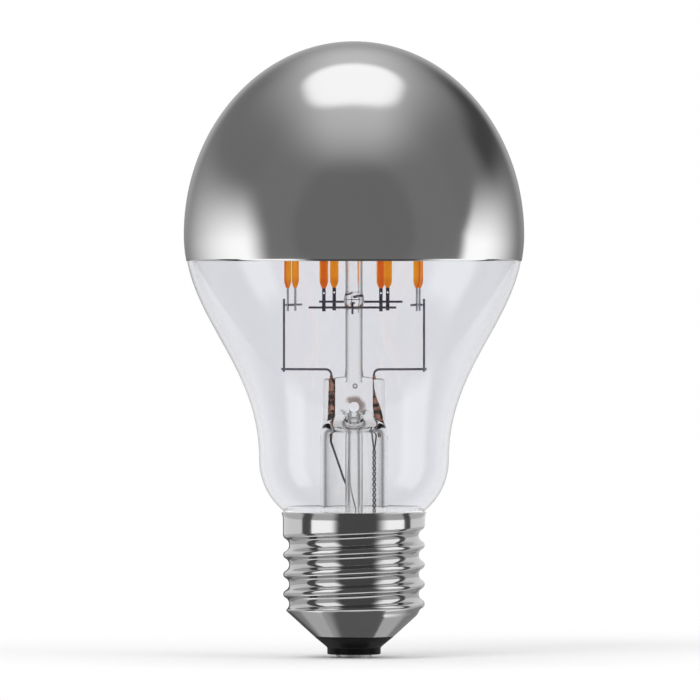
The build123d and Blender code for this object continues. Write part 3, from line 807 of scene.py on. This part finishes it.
    def execute(self, context):
        sizes = context.scene.bulb_stem
        bore, hole = sizes.exhaust_bore, sizes.blow_hole
        body = self.outside(sizes)
        joined(body, self.hollow(sizes), "DIFFERENCE")
        joined(body, self.exhaust(sizes), "UNION")
        joined(body, self.pillar(sizes), "UNION")
        joined(body, rounded([(TUBE_LOW.z + 1.6 * MM, bore), (hole, bore)], 32), "DIFFERENCE")
        begin()
        bpy.ops.mesh.primitive_cylinder_add(
            vertices=40,
            radius=bore,
            depth=3 * sizes.press_depth,
            location=(0, 0, hole),
            rotation=(math.pi / 2, 0, 0),
        )
        bpy.ops.object.transform_apply()
        joined(body, context.object, "DIFFERENCE")
        begin()
        bubble = (sizes.bubble_aside, 0, sizes.bubble_height)
        bpy.ops.mesh.primitive_uv_sphere_add(segments=24, ring_count=16, radius=sizes.bubble, location=bubble)
        bpy.ops.object.transform_apply()
        joined(body, context.object, "DIFFERENCE")
        body.select_set(True)
        edit()
        close_mesh()
        bpy.ops.object.shade_smooth_by_angle(angle=math.radians(50))
        nodes = ("stem_flare", "exhaust_tube", "glass_pillar")
        finished(body, "pressed_stem", stem_glass(sizes), "stem_glass", *nodes)
        return {"FINISHED"}


class BULB_OT_filaments(bpy.types.Operator):
    """Mould the eight filaments between their tabs"""

    bl_idname = "bulb.filaments"
    bl_label = "Filaments"

    def facing(self, node, middle):
        """The direction in which a pair of tabs is wide, as an angle from the X axis."""
        spots = [vertex.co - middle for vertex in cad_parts[node].data.vertices]
        along = sum(spot.x**2 - spot.y**2 for spot in spots)
        return math.atan2(2 * sum(spot.x * spot.y for spot in spots), along) / 2

    def mark(self, piece, middle, turn, reach):
        """Notes how far across the filament each vertex lies, for the strip that shows in its middle."""
        mark = piece.data.attributes.new("across", "FLOAT", "POINT")
        for vertex, value in zip(piece.data.vertices, mark.data):
            aside = (vertex.co.x - middle.x) * math.cos(turn) + (vertex.co.y - middle.y) * math.sin(turn)
            value.value = aside / reach

    def execute(self, context):
        sizes = context.scene.bulb_filaments
        across, deep = sizes.width / 2, sizes.depth / 2
        tip = 0.42  # the width at the very end, as a share of the full one
        low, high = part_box("filament_1")
        material = phosphor(sizes, low.z, high.z)
        for number in range(1, 9):
            low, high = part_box(f"filament_{number}")
            middle = (low + high) / 2
            rings = []
            for step in range(7):
                share = tip + (1 - tip) * math.sin(math.pi / 2 * step / 6)
                rings.append((low.z + sizes.taper * step / 6, share))
            rings += [(low.z + (high.z - low.z) * step / 8, 1.0) for step in range(1, 8)]
            rings += [(low.z + high.z - z, share) for z, share in reversed(rings[:7])]
            ringed([(z, across * share, deep * share) for z, share in rings], 32)
            edit()
            turn = self.facing(f"filament_tabs_{number}", middle)
            bpy.ops.transform.rotate(value=-turn, orient_axis="Z", center_override=(0, 0, 0))
            bpy.ops.transform.translate(value=(middle.x, middle.y, 0))
            piece = close_mesh()
            self.mark(piece, middle, turn, across)
            finished(piece, f"filament_body_{number}", material, "filament_phosphor", f"filament_{number}")
        return {"FINISHED"}


class BULB_OT_wires(bpy.types.Operator):
    """Twist the right lead and finish the wires, bars and tabs"""

    bl_idname = "bulb.wires"
    bl_label = "Wires and tabs"

    def path(self, sizes, hand):
        """The points of one strand of the twisted lead, from the driver up into the press."""
        low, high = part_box("right_lead")
        foot, reach, count = low.z, 1.5 * MM, 220  # the strands reach past the lead's box into the press
        hang, swing = 6 * MM, 1.1 * MM  # how high it hangs aside over its foot, and how far aside
        parting, gap = 3.4 * MM, 0.5 * MM  # how far under the press the strands part, and how wide
        points = []
        for step in range(count + 1):
            z = foot + (high.z + reach - foot) * step / count
            bend = swing * smooth((sizes.knee - z) / (sizes.knee - foot - hang))
            spread = max(0.0, (z - high.z + parting) / (parting + reach))
            angle = 2 * math.pi * z / sizes.twist + (0 if hand > 0 else math.pi)
            wind = sizes.wind * max(0.0, 1 - 3 * spread)
            x = sizes.lead + bend + wind * math.cos(angle) + hand * gap * spread
            points.append(Vector((x, bend + wind * math.sin(angle), z)))
        return points

    def strand(self, points, radius):
        """A thin round wire, extruded from point to point of a nearly upright path."""
        disc(10, radius, points[0])
        for start, end in zip(points, points[1:]):
            extrude(end - start)
        return close_mesh()

    def execute(self, context):
        sizes = context.scene.bulb_filaments
        rubbed, drawn = (0.28, 0.42), (0.2, 0.02 * MM)  # the wires' roughness and bump
        nickel = surface("nickel", sizes.nickel, 0.2, 900.0, rubbed, drawn, 0.75, (1, 1, 0.2))
        # The same nickel made darker, with the same roughness, for the link bars, supports and top links.
        darker_nickel = surface("nickel_darker", tone(sizes.nickel, 0.7), 0.2, 900.0, rubbed, drawn, 0.75)
        dark = surface("lead_wire", tone(sizes.nickel, 0.35), 0.25, 1200.0, (0.35, 0.5), drawn, 0.5)
        # Two copies of the one tab metal: a darker one with painted shade and a lighter one with painted
        # highlight.
        tab = surface("tab_painted_shade", sizes.tab, 0.15, 700.0, (0.30, 0.42), (0.15, 0.02 * MM), 0.8)
        bright = surface("tab_painted_highlight", sizes.bright, 0.12, 700.0, (0.25, 0.36), (0.15, 0.02 * MM), 0.8)
        copper = seal_copper(sizes)
        for side in ("left", "right"):
            dress(f"{side}_seal_wire", copper)
            for kind in ("arm", "riser", "feed_bar"):
                dress(f"{side}_{kind}", nickel)
        for row in ("front", "back"):
            for kind in ("{}_link_bar", "{}_support", "top_link_{}_left", "top_link_{}_right"):
                dress(kind.format(row), darker_nickel)
        for number in range(1, 9):
            # The left and right filaments' tabs take the copy with painted highlight, the others the copy
            # with painted shade.
            dress(f"filament_tabs_{number}", bright if number in (1, 4, 5, 8) else tab)
        for node in ("left_lead", "live_wire", "neutral_wire"):
            dress(node, dark)
        strands = [self.strand(self.path(sizes, hand), sizes.strand) for hand in (-1, 1)]
        begin()
        for strand in strands:
            strand.select_set(True)
        context.view_layer.objects.active = strands[0]
        bpy.ops.object.join()
        finished(strands[0], "twisted_lead", dark, "nickel_wire", "right_lead")
        return {"FINISHED"}


class BULB_OT_cap(bpy.types.Operator):
    """Draw the shell and roll its thread"""

    bl_idname = "bulb.cap"
    bl_label = "Threaded cap"

    def thread(self, sizes, share):
        """Radius of the thread at a share of its pitch from a crest: tight crests and wide roots."""
        half = sizes.pitch / 2
        rise = abs(share - math.floor(share + 0.5)) * sizes.pitch
        arcs = (half**2 + sizes.depth**2) / (2 * sizes.depth)
        crest = arcs * sizes.crest_share
        if rise < half * sizes.crest_share:
            return sizes.crest - crest + math.sqrt(crest**2 - rise**2)
        root = arcs - crest
        return sizes.crest - sizes.depth + root - math.sqrt(root**2 - (half - rise) ** 2)

    def band_foot(self, sizes, angle):
        """Height where the plain band begins: it follows a crest over the front and falls back behind."""
        high = sizes.crest_height + 3 * sizes.pitch
        turn = angle / (2 * math.pi)
        if turn < 0:
            return high + sizes.pitch * turn
        return high - sizes.pitch / 2 * smooth(2 * turn)

    def fillet(self, first, second, blend):
        """How far a rounding moves the surface near the place where two radii meet."""
        near = max(0.0, blend - abs(first - second)) / blend
        return near * near * blend / 4

    def radius(self, sizes, z, angle):
        """Radius of the sheet's outside at a height and an angle, with the thread, band and cone blended."""
        thread = self.thread(sizes, (z - sizes.crest_height) / sizes.pitch - angle / (2 * math.pi))
        band = sizes.collar - 2 * max(0.0, self.band_foot(sizes, angle) - z)
        cone = sizes.foot + (z - CAP_LOW.z) / math.tan(sizes.slope)
        body = max(thread, band) + self.fillet(thread, band, sizes.blend)
        body = min(body, cone) - self.fillet(body, cone, sizes.shoulder)
        flare = max(0.0, z - CAP_HIGH.z + sizes.lip_length) / sizes.lip_length
        return min(body, sizes.collar) + sizes.lip * flare * flare

    def execute(self, context):
        sizes = context.scene.bulb_cap
        rows = 240
        rise = CAP_HIGH.z - CAP_LOW.z
        piece = turned([(sizes.crest, CAP_LOW.z + rise * step / rows) for step in range(rows + 1)], SIDES)
        for vertex in piece.data.vertices:
            angle = math.atan2(vertex.co.y, vertex.co.x)
            radius = self.radius(sizes, vertex.co.z, angle)
            vertex.co.x, vertex.co.y = radius * math.cos(angle), radius * math.sin(angle)
        walled(piece, sizes.wall)
        finished(piece, "threaded_cap", plated(sizes), "cap_metal", "cap_shell")
        return {"FINISHED"}


class BULB_OT_foot(bpy.types.Operator):
    """Turn the insulator and stamp the contact"""

    bl_idname = "bulb.foot"
    bl_label = "Insulator and contact"

    def insulator(self, sizes):
        """The insulator's outline: a skirt with rounded corners, a cone and a plug in the shell."""
        skirt, step, brim, plug = sizes.skirt, sizes.skirt_top, sizes.brim_radius, FOOT_HIGH.x
        low, meet, top = FOOT_LOW.z, sizes.brim, FOOT_HIGH.z
        corner = 0.3 * MM
        outline = [(0, low), (skirt - corner, low)]
        leave, arrive = (skirt - 0.1 * MM, low), (skirt, low + 0.1 * MM)
        outline += curve(outline[-1], leave, arrive, (skirt, low + corner), 5)
        outline += [(skirt, step - corner)]
        leave, arrive = (skirt, step - 0.05 * MM), (skirt + 0.05 * MM, step)
        outline += curve(outline[-1], leave, arrive, (skirt + corner, step + 0.25 * MM), 5)
        outline += [(brim, meet - 0.1 * MM), (brim, meet - 0.02 * MM), (brim - 0.35 * MM, meet)]
        return outline + [(plug - 0.1 * MM, top - 0.1 * MM), (plug - 0.4 * MM, top), (0, top)]

    def contact(self):
        """The contact's outline: a flat face with a rounded edge."""
        reach, low, rise = CONTACT_HIGH.x, CONTACT_LOW.z, CONTACT_HIGH.z - CONTACT_LOW.z
        outline = [(0, low), (reach * 0.7, low), (reach * 0.86, low + rise * 0.12)]
        leave, arrive = (reach * 0.95, low + rise * 0.2), (reach, low + rise * 0.45)
        outline += curve(outline[-1], leave, arrive, (reach, low + rise * 0.75), 6)
        return outline + [(reach, CONTACT_HIGH.z), (0, CONTACT_HIGH.z)]

    def execute(self, context):
        sizes = context.scene.bulb_cap
        black = surface("black_glass", sizes.black, 0.3, 400.0, (0.22, 0.32), (0.08, 0.05 * MM))
        feed(shader(black).inputs["Specular IOR Level"], 0.12)
        finished(turned(self.insulator(sizes), 96), "black_foot", black, "cap_insulator", "cap_insulator")
        tin = surface("tin", sizes.tin, 0.15, 600.0, (0.3, 0.45), (0.3, 0.03 * MM), 1.0)
        finished(turned(self.contact(), 64), "contact_disc", tin, "contact_metal", "centre_contact")
        return {"FINISHED"}


class BULB_OT_driver(bpy.types.Operator):
    """Finish the driver and the cement inside the cap"""

    bl_idname = "bulb.driver"
    bl_label = "Driver and cement"

    def ring(self, sizes, blown):
        """The cement's outline between the glass neck and the shell."""
        gap = 0.05 * MM
        low, high, neck = CEMENT_LOW.z, CAP_HIGH.z - gap, blown.neck + gap
        outline = [(neck, low)] + [(r, z) for r, z in envelope_outline(blown, -gap) if low < z < high]
        outline += [(CEMENT_HIGH.x, high), (CEMENT_HIGH.x, high - sizes.thick)]
        return outline + [(sizes.waist, high - 2 * sizes.thick), (sizes.waist, low), (neck, low)]

    def execute(self, context):
        sizes = context.scene.bulb_driver
        cement = surface("cement", sizes.cement, 0.15, 900.0, (0.7, 0.9), (0.6, 0.1 * MM))
        body = shader(cement)
        # Painted glow: the cement emits its own colour, in place of the light that reaches it through the
        # neck's glass.
        fill(body, {"Emission Color": paint(body), "Emission Strength": sizes.painted_glow})
        outline = self.ring(sizes, context.scene.bulb_glass)
        finished(turned(outline, 96), "cement_ring", cement, "cement", "basing_cement")
        board = surface("fibre_board", sizes.board, 0.08, 1400.0, (0.45, 0.6), (0.2, 0.03 * MM))
        chip = surface("moulding", sizes.chip, 0.3, 2500.0, (0.45, 0.65), (0.3, 0.02 * MM))
        can = surface("can_sleeve", sizes.can, 0.15, 500.0, (0.25, 0.4), (0.1, 0.03 * MM))
        resistor = surface("resistor_coat", sizes.resistor, 0.1, 900.0, (0.3, 0.45), (0.15, 0.03 * MM))
        dress("driver_board", board)
        dress("driver_chip", chip)
        dress("bridge_rectifier", chip)
        dress("smoothing_capacitor", can)
        dress("fusible_resistor", resistor)
        return {"FINISHED"}


# Stage: a turn is an angle to the right of the front, in degrees, and X, Y and Z are parts of a direction


def hidden_from(piece, *kinds):
    """Hides a stage piece from some kinds of rays."""
    for kind in kinds:
        setattr(piece, f"visible_{kind}", False)


def unlit(name):
    """A material for a stage piece, with no shader yet and never sampled as a lamp, and its tree."""
    material, tree, body = principled(name)
    material.cycles.emission_sampling = "NONE"
    tree.nodes.remove(body)
    return material, tree


def glow(tree, level, share):
    """Ends a tree in light of a level, which only a share of the rays meets."""
    clear = added(tree, "ShaderNodeBsdfTransparent")
    show(tree, share, clear, added(tree, "ShaderNodeEmission", {"Strength": level}))


def seen_by_metal(ray):
    """One for a ray that a brushed or plated surface reflected, and zero for one that left clear glass."""
    return ray["Glossy Depth"].least(1.0) * (1.0 - ray["Is Singular Ray"])


def bearings(tree, height):
    """The direction from a point on the axis: its turn, and X, Y and Z."""
    shift = added(tree, "ShaderNodeMapping", {"Vector": place(tree), "Location": (0, 0, -height)})
    x, y, z = split(tree, added(tree, "ShaderNodeVectorMath", {0: shift}, operation="NORMALIZE"))
    return x.math("ARCTAN2", y * -1.0).math("DEGREES"), x, y, z


class BULB_OT_stage(bpy.types.Operator):
    """Set the floor, the studio that the mirror shows, the lamps and the camera"""

    bl_idname = "bulb.stage"
    bl_label = "Stage"

    def floor(self):
        """A pale floor that keeps the shadow near the bulb and is pure white farther off."""
        begin()
        bpy.ops.mesh.primitive_circle_add(vertices=128, radius=6.0, fill_type="NGON")
        floor = bpy.context.object
        floor.name = "floor"
        material, tree = unlit("floor")
        reach = added(tree, "ShaderNodeVectorMath", {0: place(tree)}, operation="LENGTH")
        far_off = Signal(reach.outputs["Value"]).ease(0.08, 0.20)
        paper = added(tree, "ShaderNodeBsdfDiffuse", {"Color": (0.95, 0.95, 0.95, 1.0)})
        show(tree, far_off, paper, added(tree, "ShaderNodeEmission"))
        floor.data.materials.append(material)
        hidden_from(floor, "glossy", "transmission")

    def room(self, sizes, turn, x, y, z):
        """What the crown mirrors: a grey room with two side panels and one overhead."""
        # Side panels, whose inner edges lean with the height
        rise = z.most(0.0)
        lean = rise * 25.0 + turn
        left = lean.ease(-80, -58, 1.1, 0.0) * turn.ease(-165, -85, 0.05, 1.0)
        left = left * z.ease(-0.10, 0.40, 1.0, 0.0)
        lean = rise * -45.0 + turn
        right = lean.ease(75, 85, 0.0, 1.12) * turn.ease(96, 152, 1.0, 0.04)
        right = right * z.ease(-0.10, 0.38, 1.0, 0.0)
        sides = (left + right) * z.ease(-0.6, -0.35)
        # Panel overhead, with round corners, and the paler ceiling around it
        wide = (x / z + 0.008) / 0.435
        long = (y / z - 0.12) / 0.37
        corner = abs(wide) ** 3.0 + abs(long) ** 3.0
        above = corner.ease(0.5, 1.45, sizes.overhead, 0.0) * z.ease(0.1, 0.3)
        sky = abs(x).ease(0.2, 0.85, 1.0, 0.05) * z.ease(0.5, 0.95, 0.0, 0.38)
        # The wall behind, the pale rim it gives the crown, a dim corner and a faint arch in front
        behind = y.ease(0.25, 0.8, 0.0, 0.25) * x.window(-0.25, 0.25, 0.2, 0.2) * z.ease(0.3, 0.6)
        edge = y.ease(0.82, 0.99, 0.0, 0.28) * z.ease(-0.1, 0.2)
        dim = turn.window(112, 160, 11.5, 11.5) * z.window(0.22, 0.55, 0.12, 0.12)
        arch = (x**2.0 + z**2.0).math("SQRT").ease(0.60, 0.72, -0.018, 0.012)
        arch = arch * y.ease(-0.4, -0.1, 1.0, 0.0)
        # The ground, which the cap's cone mirrors
        below = x.ease(-0.34, -0.22, 0.24, -0.05) + x.ease(0.38, 0.46, 0.0, 0.36)
        below = (below + y.ease(-0.3, -0.05, 0.6, 0.0)) * z.ease(-0.6, -0.3, 1.0, 0.0)
        return behind + edge - dim * 0.12 + sky + sizes.grey + above + arch + sides + below

    def tent(self, sizes):
        """The room around the bulb: a grey studio to the metal, and a white wall behind the glass."""
        begin()
        bpy.ops.mesh.primitive_uv_sphere_add(segments=64, ring_count=32, radius=2.0)
        tent = bpy.context.object
        tent.name = "studio_tent"
        material, tree = unlit("studio_tent")
        turn, x, y, z = bearings(tree, CROWN_LOW.z)
        ray = rays(tree)
        metal = seen_by_metal(ray)
        clear = ray["Is Singular Ray"]
        through = clear * ray["Is Transmission Ray"]
        sharp = clear - through
        # What the glass reflects: a card on each side, and a rim that draws its outline
        card = turn.window(60, 96, 6.88, 6.88) + turn.window(-86, -62, 5.73, 5.73)
        rim = y.ease(-0.1, 0.6, 0.1, 1.0) * y.ease(0.5, 0.93, 1.0, 0.45)
        card = card * z.window(-0.62, 0.30, 0.08, 0.08) * sizes.card + rim
        # What is seen through it, by the number of glass faces passed: each wall has two
        faces = ray["Transmission Depth"]
        beyond, deep, double = faces.over(3.5), faces.over(5.5), faces.over(7.5)
        inner = through * deep.most(ray["Glossy Depth"].least(1.0))
        wall = y.ease(0.2, 0.85, 0.12, 1.0).most(deep * 0.25)
        shade = (deep * y.ease(0.6, 0.97, 0.75, 0.0)).most(double * y.ease(0.82, 0.985, 0.7, 0.0))
        wall = wall.least(1.0 - shade).most(beyond * y.ease(-0.6, 0.1, 0.9, 0.0))
        level = self.room(sizes, turn, x, y, z) * metal + card * sharp + wall * inner
        glow(tree, level, metal + sharp + inner)
        tent.data.materials.append(material)
        hidden_from(tent, "camera", "diffuse", "shadow", "volume_scatter")

    def low_ring(self, sizes):
        """The dark and white strips around the foot, and the canopy over them, that the cap mirrors."""
        radius, low, high = 0.06, -0.1, 0.062
        canopy_drop, canopy_hole, cap_middle = 0.014, 0.4, 0.015
        begin()
        bpy.ops.mesh.primitive_cylinder_add(
            vertices=128,
            radius=radius,
            depth=high - low,
            end_fill_type="NOTHING",
            location=(0, 0, (low + high) / 2),
        )
        bpy.ops.object.transform_apply(location=True)
        bpy.ops.object.mode_set(mode="EDIT")
        pick(lambda co: co.z > 0)
        extrude((0, 0, -canopy_drop))
        bpy.ops.transform.resize(value=(canopy_hole, canopy_hole, 1), center_override=(0, 0, 0))
        bpy.ops.object.mode_set(mode="OBJECT")
        ring = bpy.context.object
        ring.name = "low_reflector"
        material, tree = unlit("low_reflector")
        turn, _, _, z = bearings(tree, cap_middle)
        around = abs(turn)
        # Two white strips in front, dimmer low down and under the canopy, which end over the ground
        white = turn.window(-66, -28, 1.15, 6.88) + turn.window(42, 81, 11.5, 1.72)
        white = white * sizes.strip * z.ease(0.05, 0.09, 0.33, 1.0) * z.ease(0.65, 0.85, 1.0, 0.4)
        white = white * z.ease(-0.66, -0.5)
        # Pale sides from there to the back, dimmer low down, at the rear's foot and under the canopy
        outer = turn.ease(-86, -83, 0.72, 0.0) * turn.ease(-153, -146, 0.05, 1.0)
        outer = outer + turn.ease(93, 97, 0.0, 0.72)
        rear = around.ease(112, 138, 0.0, 0.6) * z.window(-0.66, -0.24, 0.06, 0.06)
        outer = outer * (1.0 - rear) * z.ease(0.4, 0.75, 1.0, 0.55) * z.ease(0.05, 0.09, 0.65, 1.0)
        outer = outer.most(z.ease(0.18, 0.22, 0.0, 0.7) * around.ease(125, 145))
        # Pale ground in front
        ground = z.ease(-0.76, -0.54, sizes.ground, 0.0) * around.ease(95, 125, 1.0, 0.0)
        glow(tree, white + outer + ground + sizes.dark, seen_by_metal(rays(tree)))
        ring.data.materials.append(material)
        hidden_from(ring, "camera", "diffuse", "shadow", "volume_scatter")

    def lamp(self, name, location, size, power):
        """A soft square lamp aimed at the middle of the bulb."""
        begin()
        bpy.ops.object.light_add(type="AREA", location=location)
        lamp = bpy.context.object
        lamp.name = name
        lamp.data.size = size
        lamp.data.energy = power
        aim = Vector((0, 0, CAD_BOX[1].z / 2)) - lamp.location
        lamp.rotation_euler = aim.to_track_quat("-Z", "Y").to_euler()
        hidden_from(lamp, "camera", "glossy", "transmission")

    def world(self, sizes):
        """White to the eye and through the glass, and an even light on everything else."""
        world = bpy.data.worlds.new("studio")
        bpy.context.scene.world = world
        world.use_nodes = True
        tree = world.node_tree
        ray = rays(tree)
        seen = ray["Is Camera Ray"].most(ray["Is Glossy Ray"]).most(ray["Is Transmission Ray"])
        even = tree.nodes["Background"]
        fill(even, {"Color": (1, 1, 1, 1), "Strength": sizes.ambient})
        white = added(tree, "ShaderNodeBackground", {"Color": (1, 1, 1, 1)})
        show(tree, seen, even, white, "World Output")

    def camera(self, sizes):
        """The photo's eye: level with the crown's edge and far off."""
        begin()
        bpy.ops.object.camera_add(location=(-sizes.aside, -sizes.distance, sizes.eye))
        camera = bpy.context.object
        camera.name = "camera"
        aim = Vector((-sizes.aside, 0, sizes.aim)) - camera.location
        camera.rotation_euler = aim.to_track_quat("-Z", "Y").to_euler()
        camera.data.sensor_width = 36.0
        camera.data.lens = camera.data.sensor_width * sizes.distance / sizes.field
        camera.data.clip_start = 0.01
        bpy.context.scene.camera = camera

    def execute(self, context):
        sizes = context.scene.bulb_stage
        self.floor()
        self.tent(sizes)
        self.low_ring(sizes)
        self.lamp("key", (-0.5, -0.7, 0.9), 0.6, sizes.key)
        self.lamp("fill", (0.7, -0.4, 0.6), 0.6, sizes.fill)
        self.world(sizes)
        self.camera(sizes)
        scene = context.scene
        scene.view_settings.view_transform = "Standard"
        scene.cycles.max_bounces = 32
        scene.cycles.transmission_bounces = 32
        scene.cycles.transparent_max_bounces = 32
        scene.cycles.glossy_bounces = 8
        return {"FINISHED"}


class BULB_PT_panel(bpy.types.Panel):
    """The bulb's sizes, colours and steps"""

    bl_idname = "BULB_PT_panel"
    bl_label = "Silver crown bulb"
    bl_space_type = "VIEW_3D"
    bl_region_type = "UI"
    bl_category = "Bulb"

    def draw(self, context):
        for step in STEPS:
            self.layout.operator(step.bl_idname)
        for name, group in GROUPS.items():
            box = self.layout.box()
            for key in group.__annotations__:
                box.prop(getattr(context.scene, name), key)


GROUPS = {
    "bulb_glass": BulbGlass,
    "bulb_stem": BulbStem,
    "bulb_filaments": BulbFilaments,
    "bulb_cap": BulbCap,
    "bulb_driver": BulbDriver,
    "bulb_stage": BulbStage,
}
STEPS = (
    BULB_OT_envelope,
    BULB_OT_crown,
    BULB_OT_stem,
    BULB_OT_filaments,
    BULB_OT_wires,
    BULB_OT_cap,
    BULB_OT_foot,
    BULB_OT_driver,
    BULB_OT_stage,
)


def register():
    """Registers the settings, the steps and the panel."""
    for name, group in GROUPS.items():
        bpy.utils.register_class(group)
        setattr(bpy.types.Scene, name, bpy.props.PointerProperty(type=group))
    for step in STEPS:
        bpy.utils.register_class(step)
    bpy.utils.register_class(BULB_PT_panel)


def unregister():
    """Takes them away again."""
    bpy.utils.unregister_class(BULB_PT_panel)
    for step in reversed(STEPS):
        bpy.utils.unregister_class(step)
    for name, group in reversed(GROUPS.items()):
        delattr(bpy.types.Scene, name)
        bpy.utils.unregister_class(group)


def main():
    register()
    bpy.ops.bulb.envelope()
    bpy.ops.bulb.crown()
    bpy.ops.bulb.stem()
    bpy.ops.bulb.filaments()
    bpy.ops.bulb.wires()
    bpy.ops.bulb.cap()
    bpy.ops.bulb.foot()
    bpy.ops.bulb.driver()
    bpy.ops.bulb.stage()


if __name__ == "__main__":
    main()
